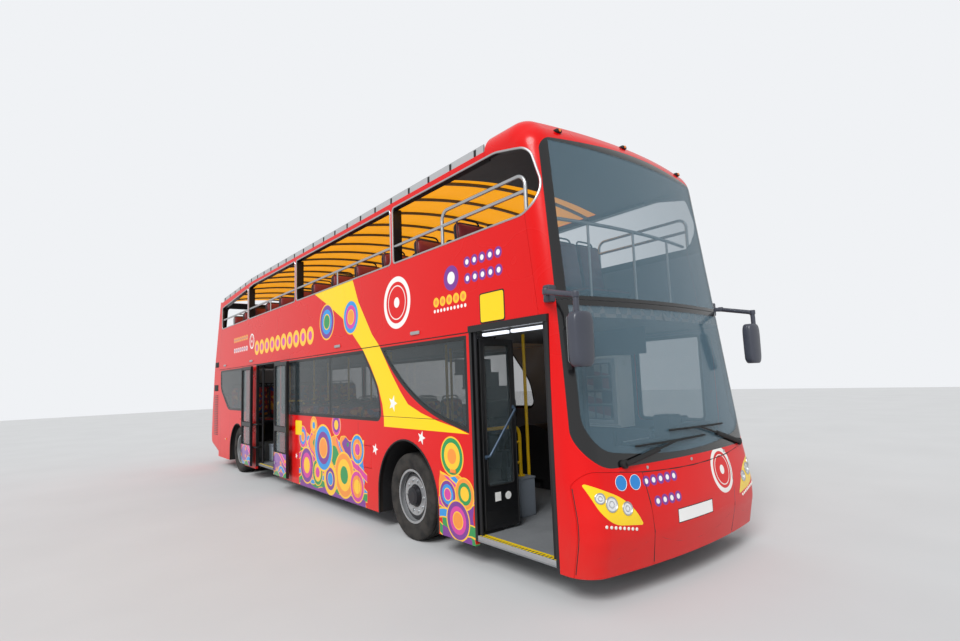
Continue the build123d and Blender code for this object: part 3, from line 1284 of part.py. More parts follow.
# Yellow poles of the lower deck
POLE_R = 17.5
POLES = (  # x, y, floor z
    (NOSE_X - 1750, -330, FLOOR_Z),
    (FRONT_AXLE_X - 560, -300, FLOOR_Z),
    (FRONT_AXLE_X - 1290, 290, FLOOR_Z),
    (FRONT_AXLE_X - 2030, -295, FLOOR_Z),
    (FRONT_AXLE_X - 3530, -295, FLOOR_Z),
    (MID_DOOR_X1 + 310, 290, FLOOR_Z),
    (MID_DOOR_X1 + 90, -700, FLOOR_Z),
    (MID_DOOR_X0 - 100, -700, FLOOR_Z),
    (MID_DOOR_X0 - 370, 290, FLOOR_Z),
    (MID_DOOR_X0 - 1000, -295, REAR_FLOOR_Z),
)
save("hand_poles", *[upright(x, y, z, UPPER_UNDER_Z, POLE_R) for x, y, z in POLES])

# Mirrors on arms at the nose corners
MIRROR_RISE_Z = SCREEN_SPLIT_Z + 50
MIRROR_X = NOSE_X - 55
MIRROR_ARM_R = 15
HEAD_DROP = 395          # from the arm's height to the head's middle
bracket = block(
    NOSE_X - 470, NOSE_X - 400, -SIDE_Y - 15, 90 - SIDE_Y, MIRROR_RISE_Z - 50, MIRROR_RISE_Z + 50
)
arm_route = (
    (NOSE_X - 435, -SIDE_Y - 5, MIRROR_RISE_Z),
    (NOSE_X - 380, -SIDE_Y - 75, MIRROR_RISE_Z),
    (MIRROR_X, -SIDE_Y - 95, MIRROR_RISE_Z - 70),
    (MIRROR_X, -SIDE_Y - 95, MIRROR_RISE_Z - 260),
)
right_mirror = bracket + tube(arm_route, MIRROR_ARM_R, 30)
HEAD_SIZE = (80, 190, 400)
head = Pos(MIRROR_X, -SIDE_Y - 60, MIRROR_RISE_Z - HEAD_DROP) * Box(*HEAD_SIZE)
head = fillet(head.edges().filter_by(Axis.Z), 30)
right_mirror = right_mirror + head - nose_outer
save("mirrors", right_mirror, mirrored(right_mirror))

# Silver rails of the upper deck
TOP_BAR_R = 17.5
TOP_BAR_Z = SILL_Z + 200
TOP_BAR_Y = SIDE_Y - PANEL_T / 2
TOP_STAY_R = 12
TOP_BAR_BAYS = (  # x0, x1, stay x
    (REAR_BAY_X + 40, POST_XS[2] - POST_W / 2, REAR_BAY_X + 900),
    (POST_XS[2] + POST_W / 2, POST_XS[1] - POST_W / 2, (POST_XS[2] + POST_XS[1]) / 2),
    (POST_XS[1] + POST_W / 2, POST_XS[0] - POST_W / 2, (POST_XS[1] + POST_XS[0]) / 2),
)
HOOP_X0 = NOSE_X - 1900
HOOP_X1 = NOSE_X - 650
HOOP_Z = SILL_Z + 350
HOOP_BEND = 100
bars = []
for x0, x1, stay_x in TOP_BAR_BAYS:
    run = Pos((x0 + x1) / 2, TOP_BAR_Y, TOP_BAR_Z) * Rot(0, 90, 0) * Cylinder(TOP_BAR_R, x1 - x0)
    run += upright(stay_x, TOP_BAR_Y, SILL_Z, TOP_BAR_Z, TOP_STAY_R)
    bars.extend([run, mirrored(run)])
front_x0 = POST_XS[0] + POST_W / 2
front_run = Pos((front_x0 + HOOP_X1) / 2, TOP_BAR_Y, TOP_BAR_Z) * Rot(0, 90, 0) * Cylinder(
    TOP_BAR_R, HOOP_X1 - front_x0
)
hoop_route = (
    (HOOP_X0, TOP_BAR_Y, SILL_Z),
    (HOOP_X0, TOP_BAR_Y, HOOP_Z),
    (HOOP_X1, TOP_BAR_Y, HOOP_Z),
    (HOOP_X1, TOP_BAR_Y, SILL_Z),
)
front_run += tube(hoop_route, TOP_BAR_R, HOOP_BEND)
front_run = front_run & front_bay_hole
bars.extend([front_run, mirrored(front_run)])
save("upper_rails", *bars)
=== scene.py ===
import math

import bmesh
import bpy
from mathutils import Matrix, Vector
from mathutils.bvhtree import BVHTree


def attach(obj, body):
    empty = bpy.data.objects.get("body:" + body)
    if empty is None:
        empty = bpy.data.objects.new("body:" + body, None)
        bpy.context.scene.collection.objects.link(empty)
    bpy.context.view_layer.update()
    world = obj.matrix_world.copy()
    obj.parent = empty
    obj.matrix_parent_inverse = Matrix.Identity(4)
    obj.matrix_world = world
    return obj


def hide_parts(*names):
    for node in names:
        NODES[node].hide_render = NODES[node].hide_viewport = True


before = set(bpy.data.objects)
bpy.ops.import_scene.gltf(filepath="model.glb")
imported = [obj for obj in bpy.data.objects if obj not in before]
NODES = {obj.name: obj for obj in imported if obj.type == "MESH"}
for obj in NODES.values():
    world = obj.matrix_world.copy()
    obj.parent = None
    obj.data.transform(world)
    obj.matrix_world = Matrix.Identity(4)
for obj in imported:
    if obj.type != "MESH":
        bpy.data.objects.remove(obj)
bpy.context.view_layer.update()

bl_info = {
    "name": "Open top double decker bus",
    "version": (1, 0, 0),
    "blender": (4, 5, 0),
    "location": "View3D > Sidebar > Bus",
    "description": "Dresses the packed bus with its paint, glass, wheels, seats, doors and trim",
    "category": "Object",
}

BUS = "bus"
SIDES = (("right", -1), ("left", 1))
BOTH = (-1, 1)
HALF_WIDTH = 1.275
SKIN = -HALF_WIDTH  # the right side
WHEEL_Z = 0.46
FLOOR_Z = 0.300
DECK_Z = 2.242


# Shader tools


def srgb(red, green, blue):
    """Linear colour from the 0 to 255 values of a paint chart."""
    out = []
    for level in (red, green, blue):
        share = level / 255
        out.append(share / 12.92 if share <= 0.04045 else ((share + 0.055) / 1.055) ** 2.4)
    return tuple(out)


class Wire:
    """One socket of a finish, with arithmetic that adds its own nodes."""

    def __init__(self, finish, socket):
        self.finish = finish
        self.socket = socket

    def math(self, operation, *others, clamp=False):
        settings = {"operation": operation, "use_clamp": clamp}
        sockets = {0: self}
        for index, other in enumerate(others):
            sockets[index + 1] = other
        return self.finish.put("ShaderNodeMath", settings, sockets)

    def __add__(self, other):
        return self.math("ADD", other)

    __radd__ = __add__

    def __sub__(self, other):
        return self.math("SUBTRACT", other)

    def __rsub__(self, other):
        return self.math("MULTIPLY_ADD", -1.0, other)

    def __mul__(self, other):
        return self.math("MULTIPLY", other)

    __rmul__ = __mul__

    def __truediv__(self, other):
        return self.math("DIVIDE", other)

    def above(self, edge, soft=0.002):
        """Mask that is 1 where this value is over the edge."""
        shifted = self - edge
        return shifted.math("MULTIPLY_ADD", 1 / soft, 0.5, clamp=True)

    def below(self, edge, soft=0.002):
        """Mask that is 1 where this value is under the edge."""
        return 1 - self.above(edge, soft)

    def within(self, low, high, soft=0.002):
        return self.above(low, soft) * self.below(high, soft)


class Finish:
    """A material that is put together from nodes."""

    def __init__(self, name, **surface):
        self.material = bpy.data.materials.new(name)
        self.material.use_nodes = True
        self.tree = self.material.node_tree
        self.tree.nodes.clear()
        self.shader = self.tree.nodes.new("ShaderNodeBsdfPrincipled")
        output = self.tree.nodes.new("ShaderNodeOutputMaterial")
        self.tree.links.new(self.shader.outputs[0], output.inputs[0])
        self.set(**surface)

    def put(self, kind, settings=None, sockets=None, out=0):
        """Adds a node: its settings first, then the values or links of its sockets."""
        node = self.tree.nodes.new(kind)
        for key, value in (settings or {}).items():
            if key == "stops":
                ramp = node.color_ramp
                while len(ramp.elements) < len(value):
                    ramp.elements.new(1.0)
                for stop, (place, colour) in zip(ramp.elements, value):
                    stop.position = place
                    stop.color = (*colour, 1)
            elif key == "steps":
                node.color_ramp.interpolation = "CONSTANT"
            else:
                setattr(node, key, value)
        for key, value in (sockets or {}).items():
            self.feed(node.inputs[key], value)
        return Wire(self, node.outputs[out])

    def feed(self, socket, value):
        """Links a wire to a socket, or sets the socket's value."""
        if isinstance(value, Wire):
            self.tree.links.new(value.socket, socket)
        else:
            socket.default_value = (*value, 1) if socket.type == "RGBA" else value

    def set(self, **surface):
        """Sets or links sockets of the surface, named with underscores for spaces."""
        for key, value in surface.items():
            self.feed(self.shader.inputs[key.replace("_", " ")], value)

    def place(self):
        """Position on the bus, in metres: the point and its three coordinates."""
        point = self.put("ShaderNodeTexCoord", out=3)
        parts = [self.put("ShaderNodeSeparateXYZ", {}, {0: point}, out=axis) for axis in range(3)]
        return point, *parts

    def noise(self, point, scale, detail=3.0):
        sockets = {"Vector": point, "Scale": scale, "Detail": detail, "Roughness": 0.55}
        return self.put("ShaderNodeTexNoise", {}, sockets)

    def cells(self, point, scale, out=0):
        return self.put("ShaderNodeTexVoronoi", {}, {"Vector": point, "Scale": scale}, out)

    def scaled(self, point, x, y, z):
        settings = {"operation": "MULTIPLY"}
        return self.put("ShaderNodeVectorMath", settings, {0: point, 1: (x, y, z)})

    def mix(self, factor, low, high):
        """Colour between low and high."""
        return self.put("ShaderNodeMix", {"data_type": "RGBA"}, {0: factor, 6: low, 7: high}, out=2)

    def ramp(self, factor, stops, stepped=False):
        settings = {"stops": stops}
        if stepped:
            settings["steps"] = True
        return self.put("ShaderNodeValToRGB", settings, {0: factor})

    def bump(self, height, distance, strength):
        sockets = {"Height": height, "Distance": distance, "Strength": strength}
        self.set(Normal=self.put("ShaderNodeBump", {}, sockets))

    def flakes(self, base, spread=0.05, scale=3.0, rough=0.35, rough_spread=0.12):
        """Slight drift of colour and gloss over a plain finish."""
        point = self.place()[0]
        drift = self.noise(point, scale)
        dark = tuple(level * (1 - 2 * spread) for level in base)
        light = tuple(min(1, level * (1 + spread) + spread * 0.02) for level in base)
        self.set(Base_Color=self.mix(drift, dark, light))
        self.set(Roughness=drift * rough_spread + (rough - rough_spread / 2))
        return point

    def piecewise(self, value, points):
        """Broken line through (value, result) points."""
        result = points[0][1]
        for (start, low), (end, high) in zip(points, points[1:]):
            share = (value - start).math("MULTIPLY", 1 / (end - start), clamp=True)
            result = share * (high - low) + result
        return result


# Mesh tools


def bent(points, radius, steps=5):
    """Route whose inner corners are rounded by arcs."""
    points = [Vector(point) for point in points]
    route = [points[0]]
    for before, corner, after in zip(points, points[1:], points[2:]):
        into = (before - corner).normalized()
        away = (after - corner).normalized()
        reach = radius / math.tan(into.angle(away) / 2)
        reach = min(reach, (before - corner).length * 0.49, (after - corner).length * 0.49)
        start = corner + into * reach
        end = corner + away * reach
        for step in range(steps + 1):
            share = step / steps
            first = start.lerp(corner, share)
            second = corner.lerp(end, share)
            route.append(first.lerp(second, share))
    route.append(points[-1])
    return route


def circle(u, v, radius, steps=28):
    """Points round a centre."""
    turns = [2 * math.pi * step / steps for step in range(steps)]
    return [(u + radius * math.cos(turn), v + radius * math.sin(turn)) for turn in turns]


def grid_quads(columns, rows):
    """Faces of two grids of points, the second below the first and looking down."""
    wide = columns + 1
    count = wide * (rows + 1)
    faces = []
    for here in (row * wide + column for row in range(rows) for column in range(columns)):
        quad = (here, here + 1, here + wide + 1, here + wide)
        faces += [quad, tuple(index + count for index in reversed(quad))]
    return faces


def grid_border(columns, rows):
    """Indices round the border of a grid, in order."""
    wide = columns + 1
    out = list(range(wide))
    out += [row * wide + columns for row in range(1, rows + 1)]
    out += [rows * wide + columns - step for step in range(1, columns + 1)]
    out += [row * wide for row in range(rows - 1, 0, -1)]
    return out


def slab_faces(columns, rows):
    """Faces of a closed slab between two grids of points."""
    count = (columns + 1) * (rows + 1)
    border = grid_border(columns, rows)
    pairs = zip(border, border[1:] + border[:1])
    return grid_quads(columns, rows) + [(here, here + count, after + count, after) for here, after in pairs]


def prism_faces(count):
    """Faces of a solid between two outlines of as many points."""
    sides = [(i, i + count, (i + 1) % count + count, (i + 1) % count) for i in range(count)]
    return [tuple(range(count)), tuple(range(2 * count - 1, count - 1, -1)), *sides]


class Shape:
    """Mesh that is put together from worked forms."""

    def __init__(self):
        self.mesh = bmesh.new()

    def add(self, points, faces):
        corners = [self.mesh.verts.new(point) for point in points]
        return [self.mesh.faces.new([corners[index] for index in face]) for face in faces]

    def soften(self, faces, amount, segments=2):
        if amount > 0:
            edges = list({edge for face in faces for edge in face.edges})
            bmesh.ops.bevel(
                self.mesh,
                geom=edges,
                offset=amount,
                segments=segments,
                affect="EDGES",
                profile=0.5,
                clamp_overlap=True,
            )

    def box(self, low, high, soft=0.0, segments=2):
        xs, ys, zs = zip(low, high)
        points = [(x, y, z) for z in zs for y in ys for x in xs]
        quads = [(0, 2, 3, 1), (4, 5, 7, 6), (0, 1, 5, 4), (2, 6, 7, 3), (0, 4, 6, 2), (1, 3, 7, 5)]
        self.soften(self.add(points, quads), soft, segments)

    def plate(self, outline, axis, start, end, soft=0.0):
        """Outline drawn across an axis and made thick along it."""

        def at(u, v, depth):
            return {"X": (depth, u, v), "Y": (u, depth, v), "Z": (u, v, depth)}[axis]

        points = [at(u, v, depth) for depth in (start, end) for u, v in outline]
        self.soften(self.add(points, prism_faces(len(outline))), soft)

    def tube(self, route, radius, sides=10, closed=False):
        """Round bar along a route."""
        route = [Vector(point) for point in route]
        count = len(route)
        normal = None
        rings = []
        for index, point in enumerate(route):
            before = route[index - 1] if index or closed else point
            after = route[(index + 1) % count] if index < count - 1 or closed else point
            along = (after - before).normalized()
            if normal is None:
                normal = along.orthogonal().normalized()
            normal = (normal - along * normal.dot(along)).normalized()
            side = along.cross(normal)
            ring = []
            for turn in range(sides):
                angle = 2 * math.pi * turn / sides
                offset = (normal * math.cos(angle) + side * math.sin(angle)) * radius
                ring.append(self.mesh.verts.new(point + offset))
            rings.append(ring)
        pairs = list(zip(rings, rings[1:]))
        if closed:
            pairs.append((rings[-1], rings[0]))
        for low, high in pairs:
            for turn in range(sides):
                after = (turn + 1) % sides
                self.mesh.faces.new((low[turn], low[after], high[after], high[turn]))
        if not closed:
            self.mesh.faces.new(list(reversed(rings[0])))
            self.mesh.faces.new(rings[-1])

    def turn(self, section, centre, side=1, steps=64):
        """Closed section of (radius, across) turned about a wheel's axle."""
        rings = []
        for step in range(steps):
            angle = 2 * math.pi * step / steps
            ring = []
            for radius, across in section:
                x = centre[0] + radius * math.sin(angle)
                z = centre[2] + radius * math.cos(angle)
                ring.append(self.mesh.verts.new((x, centre[1] + side * across, z)))
            rings.append(ring)
        count = len(section)
        for step in range(steps):
            here, after = rings[step], rings[(step + 1) % steps]
            for index in range(count):
                following = (index + 1) % count
                self.mesh.faces.new((here[index], here[following], after[following], after[index]))

    def disc(self, centre, axis, radius, depth, sides=24, soft=0.0):
        """Round plug along an axis, from the centre to the depth."""
        u, v = {"X": (1, 2), "Y": (0, 2), "Z": (0, 1)}[axis]
        start = centre["XYZ".index(axis)]
        self.plate(circle(centre[u], centre[v], radius, sides), axis, start, start + depth, soft)

    def mirrored(self):
        """Adds the same forms on the other side of the bus."""
        parts = self.mesh.faces[:] + self.mesh.edges[:] + self.mesh.verts[:]
        for item in bmesh.ops.duplicate(self.mesh, geom=parts)["geom"]:
            if isinstance(item, bmesh.types.BMVert):
                item.co.y = -item.co.y

    def piece(self, name, finish, body=BUS, slot=None, smooth=35.0):
        """Makes the mesh an object that rides on a body, and starts the next mesh."""
        bmesh.ops.remove_doubles(self.mesh, verts=self.mesh.verts, dist=1e-6)
        bmesh.ops.recalc_face_normals(self.mesh, faces=self.mesh.faces)
        limit = math.radians(smooth)
        for face in self.mesh.faces:
            face.smooth = True
        for edge in self.mesh.edges:
            edge.smooth = len(edge.link_faces) == 2 and edge.calc_face_angle(0) < limit
        data = bpy.data.meshes.new(name)
        self.mesh.to_mesh(data)
        self.mesh.free()
        self.mesh = bmesh.new()
        data.materials.append(finishes[finish])
        thing = bpy.data.objects.new(name, data)
        bpy.context.scene.collection.objects.link(thing)
        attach(thing, body)
        return thing


def rounded(corners, radius, steps=4):
    """Outline of (u, v) corners, each rounded by the same radius."""
    out = []
    count = len(corners)
    for index, corner in enumerate(corners):
        here = Vector((*corner, 0))
        before = Vector((*corners[index - 1], 0))
        after = Vector((*corners[(index + 1) % count], 0))
        run = bent([before, here, after], radius, steps)[1:-1]
        out.extend((point.x, point.y) for point in run)
    return out


def rectangle(u0, v0, u1, v1, radius=0.0):
    corners = [(u0, v0), (u1, v0), (u1, v1), (u0, v1)]
    return rounded(corners, radius) if radius else corners


NUDGES = (
    (0, 0), (0.012, 0), (-0.012, 0), (0, 0.012), (0, -0.012),
    (0.03, 0), (-0.03, 0), (0, 0.03), (0, -0.03), (0, 0.06),
)


class SkinFinder:
    """Finds points on the bus's skin by looking at it along one axis."""

    def __init__(self, names, axis, start):
        points = []
        faces = []
        for name in names:
            data = NODES[name].data
            first = len(points)
            points.extend(vert.co.copy() for vert in data.vertices)
            faces.extend([first + index for index in face.vertices] for face in data.polygons)
        self.tree = BVHTree.FromPolygons(points, faces)
        self.axis = axis
        self.start = start

    def at(self, u, v, proud=0.0):
        """Point at a place across the axis, moved out by the given amount."""
        look = Vector((0, 0, 0))
        look[self.axis] = -math.copysign(1, self.start)
        for du, dv in NUDGES:
            origin = [u + du, v + dv]
            origin.insert(self.axis, self.start)
            spot, normal, _, _ = self.tree.ray_cast(Vector(origin), look)
            if spot is not None:
                if normal.dot(look) > 0:
                    normal = -normal
                spot = spot + normal * proud
                slots = [index for index in range(3) if index != self.axis]
                spot[slots[0]] -= du
                spot[slots[1]] -= dv
                return spot
        raise RuntimeError(f"no skin at {u}, {v}")


NOSE = SkinFinder(
    ("nose_surround", "lamp_panels", "nose_centre_panel", "lamp_bases", "windscreens", "lamp_lenses"), 0, 8
)
TAIL = SkinFinder(("tail_lower", "tail_upper", "tail_lamps", "engine_hatch"), 0, -8)
RIGHT = SkinFinder(
    ("nose_surround", "roof_hood", "top_frames", "upper_skins", "tail_upper", "tail_lower"), 1, -3
)
ROOF = SkinFinder(("roof_hood", "canopy"), 2, 6)


# Finishes


RED = srgb(224, 4, 6)
YELLOW = srgb(255, 214, 0)
WHITE = srgb(245, 244, 240)
CANOPY_YELLOW = srgb(255, 170, 0)
PURPLE = srgb(124, 58, 150)
ORANGE = srgb(244, 150, 60)
PINK = srgb(214, 66, 160)
BLUE = srgb(46, 150, 224)
GREEN = srgb(40, 150, 84)
SUN = srgb(255, 200, 50)
BALLOONS = (  # x, z, radius, inner, middle and outer colour
    (0.30, 0.52, 0.27, SUN, PINK, PURPLE),
    (1.62, 0.52, 0.30, GREEN, SUN, ORANGE),
    (2.02, 0.88, 0.19, PINK, ORANGE, BLUE),
    (0.14, 0.93, 0.17, ORANGE, BLUE, PINK),
    (0.58, 1.12, 0.13, BLUE, SUN, ORANGE),
    (1.38, 1.16, 0.15, SUN, PURPLE, PINK),
    (2.00, 0.42, 0.20, SUN, ORANGE, PINK),
    (0.72, 0.46, 0.19, PINK, SUN, GREEN),
    (1.17, 0.42, 0.22, BLUE, PURPLE, SUN),
    (0.93, 0.82, 0.33, ORANGE, PURPLE, BLUE),
    (4.08, 0.97, 0.19, ORANGE, SUN, GREEN),
    (3.99, 0.60, 0.14, PINK, BLUE, PURPLE),
    (4.27, 0.64, 0.15, SUN, GREEN, ORANGE),
    (4.15, 0.38, 0.19, ORANGE, PINK, PURPLE),
    (1.08, 2.60, 0.26, GREEN, BLUE, PURPLE),
    (1.87, 2.58, 0.23, ORANGE, PINK, BLUE),
)
RIBBONS = (  # middle height, swing, waves per metre, shift, half width, colour
    (0.60, 0.10, 4.2, 0.4, 0.040, PINK),
    (0.36, 0.06, 6.5, 1.0, 0.035, BLUE),
    (0.27, 0.05, 9.0, 0.0, 0.045, GREEN),
)
RIBBON_ENDS = ((-0.02, 2.28), (3.84, 4.415))
PRINT_FIELDS = ((0.06, 2.20, 0.98), (3.87, 4.39, 0.80))
FESTOONS = (  # x0, x1, z, pitch, bead radius, outer and inner colour
    (-2.40, 0.60, 2.46, 0.300, 0.138, SUN, PINK),
    (-3.90, -2.85, 2.72, 0.150, 0.052, SUN, PURPLE),
    (-3.90, -2.85, 2.50, 0.150, 0.052, WHITE, PURPLE),
    (3.9936, 4.3264, 2.71, 0.3328, 0.125, PURPLE, WHITE),
    (3.828, 4.408, 2.50, 0.116, 0.050, SUN, ORANGE),
    (3.828, 4.408, 2.41, 0.058, 0.018, WHITE, WHITE),
    (4.370, 4.945, 2.82, 0.115, 0.052, PURPLE, WHITE),
    (4.370, 4.945, 2.66, 0.115, 0.052, PURPLE, WHITE),
)
NOSE_FESTOONS = (  # y0, y1, z, pitch, bead radius, outer and inner colour
    (-0.688, -0.258, 0.855, 0.086, 0.041, PURPLE, WHITE),
    (-0.602, -0.258, 0.695, 0.086, 0.041, PURPLE, WHITE),
)
STAMP_RINGS = ((0.80, 1.0), (0.62, 0.66), (0.0, 0.2))
SIDE_STAMPS = ((3.08, 2.61, 0.30, WHITE), (-2.58, 2.61, 0.15, WHITE))
NOSE_STAMP = (0.48, 0.805, 0.20)
SWOOSH_RIGHT = (  # height, x of the band's front edge
    (1.19, 4.40), (1.25, 4.15), (1.30, 3.85), (1.37, 3.55), (1.46, 3.28), (1.60, 3.12),
    (1.80, 2.93), (2.15, 2.64), (2.30, 2.46), (2.75, 2.10), (3.08, 1.93),
)
SWOOSH_LEFT = (  # height, x of the band's rear edge
    (1.19, 2.73), (1.30, 2.73), (1.45, 2.70), (1.66, 2.60), (1.90, 2.42), (2.12, 2.215),
    (2.40, 1.85), (2.60, 1.60), (2.85, 1.10), (3.08, 0.60),
)
finishes = {}


def rings(finish, colour, flat, centre, radius, tone):
    """Draws a stamp of plain rings over a colour."""
    settings = {"operation": "DISTANCE"}
    away = finish.put("ShaderNodeVectorMath", settings, {0: flat, 1: centre}, out=1) * (1 / radius)
    mask = 0.0
    for low, high in STAMP_RINGS:
        mask = away.within(low - 0.001, high, 0.02) + mask
    return finish.mix(mask, colour, tone)


def beads(finish, colour, along, z, row):
    """Draws one row of round beads over a colour."""
    start, end, height, pitch, radius, outer, inner = row
    step = (along * (1 / pitch)).math("FRACT") - 0.5
    step = step * pitch
    rise = z - height
    reach = (step * step + rise * rise).math("SQRT")
    inside = along.within(start, end)
    colour = finish.mix(reach.below(radius, 0.004) * inside, colour, outer)
    return finish.mix(reach.below(radius * 0.5, 0.004) * inside, colour, inner)


def balloons(finish, colour, flat, x, z):
    """Draws the festive print of balloons and ribbons over a colour."""
    wobble = finish.noise(flat, 3.2, 1.0)
    patches = finish.noise(flat, 1.9, 0.6)
    stops = (
        (0.0, GREEN), (0.36, ORANGE), (0.44, PINK), (0.475, SUN), (0.49, BLUE),
        (0.54, ORANGE), (0.60, PURPLE), (0.68, GREEN),
    )
    backdrop = finish.ramp(patches, stops, stepped=True)
    for start, end, crest in PRINT_FIELDS:
        inside = (x + (wobble - 0.5) * 0.30).within(start, end)
        low = (z + (wobble - 0.5) * 0.45).below(crest)
        rim = (z + (wobble - 0.5) * 0.45).below(crest + 0.016)
        colour = finish.mix(inside * rim, colour, SUN)
        colour = finish.mix(inside * low, colour, backdrop)
    for middle, swing, waves, shift, half, tone in RIBBONS:
        bend = (x * waves + shift).math("SINE") * swing + middle
        near = (z - bend).math("ABSOLUTE")
        for start, end in RIBBON_ENDS:
            inside = x.within(start, end)
            colour = finish.mix(near.below(half + 0.012) * inside, colour, SUN)
            colour = finish.mix(near.below(half) * inside, colour, tone)
    for start, end in RIBBON_ENDS:
        hill = (x * 7.0).math("SINE") * 0.035 + 0.27
        foot = (hill - z).above(0) * x.within(start + 0.05, end - 0.05)
        colour = finish.mix(foot, colour, PURPLE)
    settings = {"operation": "DISTANCE"}
    for cx, cz, radius, inner, middle, outer in BALLOONS:
        away = finish.put("ShaderNodeVectorMath", settings, {0: flat, 1: (cx, 0, cz)}, out=1)
        share = away * (1 / radius)
        stops = ((0.0, inner), (0.38, SUN), (0.44, middle), (0.68, outer), (0.92, SUN))
        tone = finish.ramp(share, stops, stepped=True)
        colour = finish.mix(share.below(1.0, 0.02), colour, tone)
    return colour


def coach_paint(name, paint):
    """Red coachwork outside, dark lining inside; gives the finish and its parts."""
    finish = Finish(name, Coat_Weight=0.14, Coat_Roughness=0.06, Specular_IOR_Level=0.25)
    point, x, *_ = finish.place()
    wave = finish.noise(point, 0.5)
    dark = tuple(level * 0.92 for level in paint.red)
    red = finish.mix(wave, dark, tuple(paint.red))
    # The red turns a little paler towards the rear.
    paler_to_rear = x.math("MULTIPLY_ADD", -0.12, -0.42, clamp=True)
    red = finish.mix(paler_to_rear * 0.18, red, srgb(236, 84, 78))
    return finish, red, wave


def lined(finish, colour, wave):
    """Puts the inner lining and the road dust on and links the colour."""
    point, x, y, z = finish.place()
    facing = finish.put("ShaderNodeTexCoord", out=1)
    ends = (x.math("ABSOLUTE") - 4.2).math("MAXIMUM", 0.0) * (x.math("SIGN"))
    outward = finish.put("ShaderNodeCombineXYZ", {}, {0: ends, 1: y, 2: (z - 3.3).math("MAXIMUM", 0.0)})
    settings = {"operation": "DOT_PRODUCT"}
    inward = finish.put("ShaderNodeVectorMath", settings, {0: facing, 1: outward}, out=1)
    dust = z.below(0.55, 0.7) * finish.noise(point, 4.0) * 0.25
    colour = finish.mix(dust, colour, srgb(120, 100, 86))
    lining = finish.mix(z.above(3.0, 0.01), srgb(108, 116, 128), srgb(28, 28, 31))
    inside = inward.below(-0.15, 0.1)
    finish.set(
        Base_Color=finish.mix(inside, colour, lining),
        Roughness=(dust * 0.8 + wave * 0.08 + 0.24).math("MAXIMUM", inside * 0.6),
    )
    finish.bump(finish.noise(point, 240.0, 1.0), 0.0002, 0.1)
    return finish.material


def axle_distance(x, rise):
    """How far a place above an axle's height lies from the nearer axle."""
    along = (x + 0.175).math("ABSOLUTE") - 3.375
    rise = rise.math("MAXIMUM", 0.0)
    return (along * along + rise * rise).math("SQRT")


SKIRT_SEAMS = (2.05, 0.62, -0.45, -4.15, -4.95)


def livery(paint):
    """Coachwork of the sides with the yellow band and the prints."""
    finish, colour, wave = coach_paint("coach_red", paint)
    point, x, _, z = finish.place()
    ahead = x - finish.piecewise(z, SWOOSH_LEFT)
    behind = finish.piecewise(z, SWOOSH_RIGHT) - x
    band = ahead.above(0) * behind.above(0) * z.above(1.196)
    colour = finish.mix(band, colour, tuple(paint.yellow))
    flat = finish.scaled(point, 1.0, 0.0, 1.0)
    colour = balloons(finish, colour, flat, x, z)
    for row in FESTOONS:
        colour = beads(finish, colour, x, z, row)
    for centre_x, centre_z, radius, tone in SIDE_STAMPS:
        colour = rings(finish, colour, flat, (centre_x, 0, centre_z), radius, tone)
    for seam in SKIRT_SEAMS:
        line = (x - seam).math("ABSOLUTE").below(0.0022) * z.below(1.22)
        colour = finish.mix(line, colour, srgb(70, 14, 16))
    line = (z - 1.315).math("ABSOLUTE").below(0.003) * x.within(2.55, 4.2)
    colour = finish.mix(line, colour, srgb(60, 30, 14))
    # Painted shade: the wheel wells inside the arch openings are filled near-black, the front one a little
    # wider and higher.
    ahead = x.above(0.0)
    reach = axle_distance(x, z - 0.43 - ahead * 0.02)
    colour = finish.mix(reach.below(ahead * 0.07 + 0.555), colour, srgb(20, 20, 22))
    return lined(finish, colour, wave)


def nose_livery(paint):
    """Coachwork of the nose with its beads and its ring stamp."""
    finish, colour, wave = coach_paint("nose_red", paint)
    point, _, y, z = finish.place()
    for row in NOSE_FESTOONS:
        colour = beads(finish, colour, y, z, row)
    flat = finish.scaled(point, 0.0, 1.0, 1.0)
    stamp_y, stamp_z, stamp_r = NOSE_STAMP
    colour = rings(finish, colour, flat, (0, stamp_y, stamp_z), stamp_r, WHITE)
    return lined(finish, colour, wave)


def tail_livery(paint):
    """Plain coachwork of the tail."""
    finish, colour, wave = coach_paint("tail_red", paint)
    return lined(finish, colour, wave)


def frame_paint(paint):
    """Posts and top rail: red outside, black towards the openings."""
    finish, colour, wave = coach_paint("frame_red", paint)
    _, _, y, z = finish.place()
    inside = y.math("ABSOLUTE").below(HALF_WIDTH - 0.0015, 0.0005) * z.below(3.798)
    finish.set(Base_Color=finish.mix(inside, colour, srgb(24, 24, 27)), Roughness=wave * 0.1 + 0.3)
    return finish.material


def leaf_print():
    """Printed film on the lower part of the middle door."""
    finish = Finish("door_print", Coat_Weight=0.3)
    point, x, _, z = finish.place()
    colour = finish.mix(finish.noise(point, 2.0), PURPLE, srgb(150, 96, 180))
    for middle, swing, waves, shift, half, tone in RIBBONS:
        bend = (x * (waves * 1.6) + shift).math("SINE") * swing + (middle - 0.02)
        near = (z - bend).math("ABSOLUTE")
        colour = finish.mix(near.below(half + 0.012), colour, SUN)
        colour = finish.mix(near.below(half), colour, tone)
    dots = finish.cells(finish.scaled(point, 1.0, 0.0, 1.0), 7.0)
    colour = finish.mix(dots.below(0.24, 0.01), colour, ORANGE)
    finish.set(Base_Color=colour, Roughness=finish.noise(point, 5.0) * 0.1 + 0.25)
    return finish.material


def glass(name, tint, clear, facing_gain, rough=0.03):
    """Glass that is clear head on and closes towards a glancing look."""
    finish = Finish(name, Base_Color=tint, IOR=1.5, Coat_Weight=0.4, Specular_IOR_Level=0.8)
    facing = finish.put("ShaderNodeLayerWeight", {}, {"Blend": 0.35}, out=1)
    finish.set(Alpha=facing * facing_gain + clear)
    point = finish.place()[0]
    finish.set(Roughness=finish.noise(point, 2.0) * 0.03 + rough)
    return finish


SCREEN_CORNER = 0.26


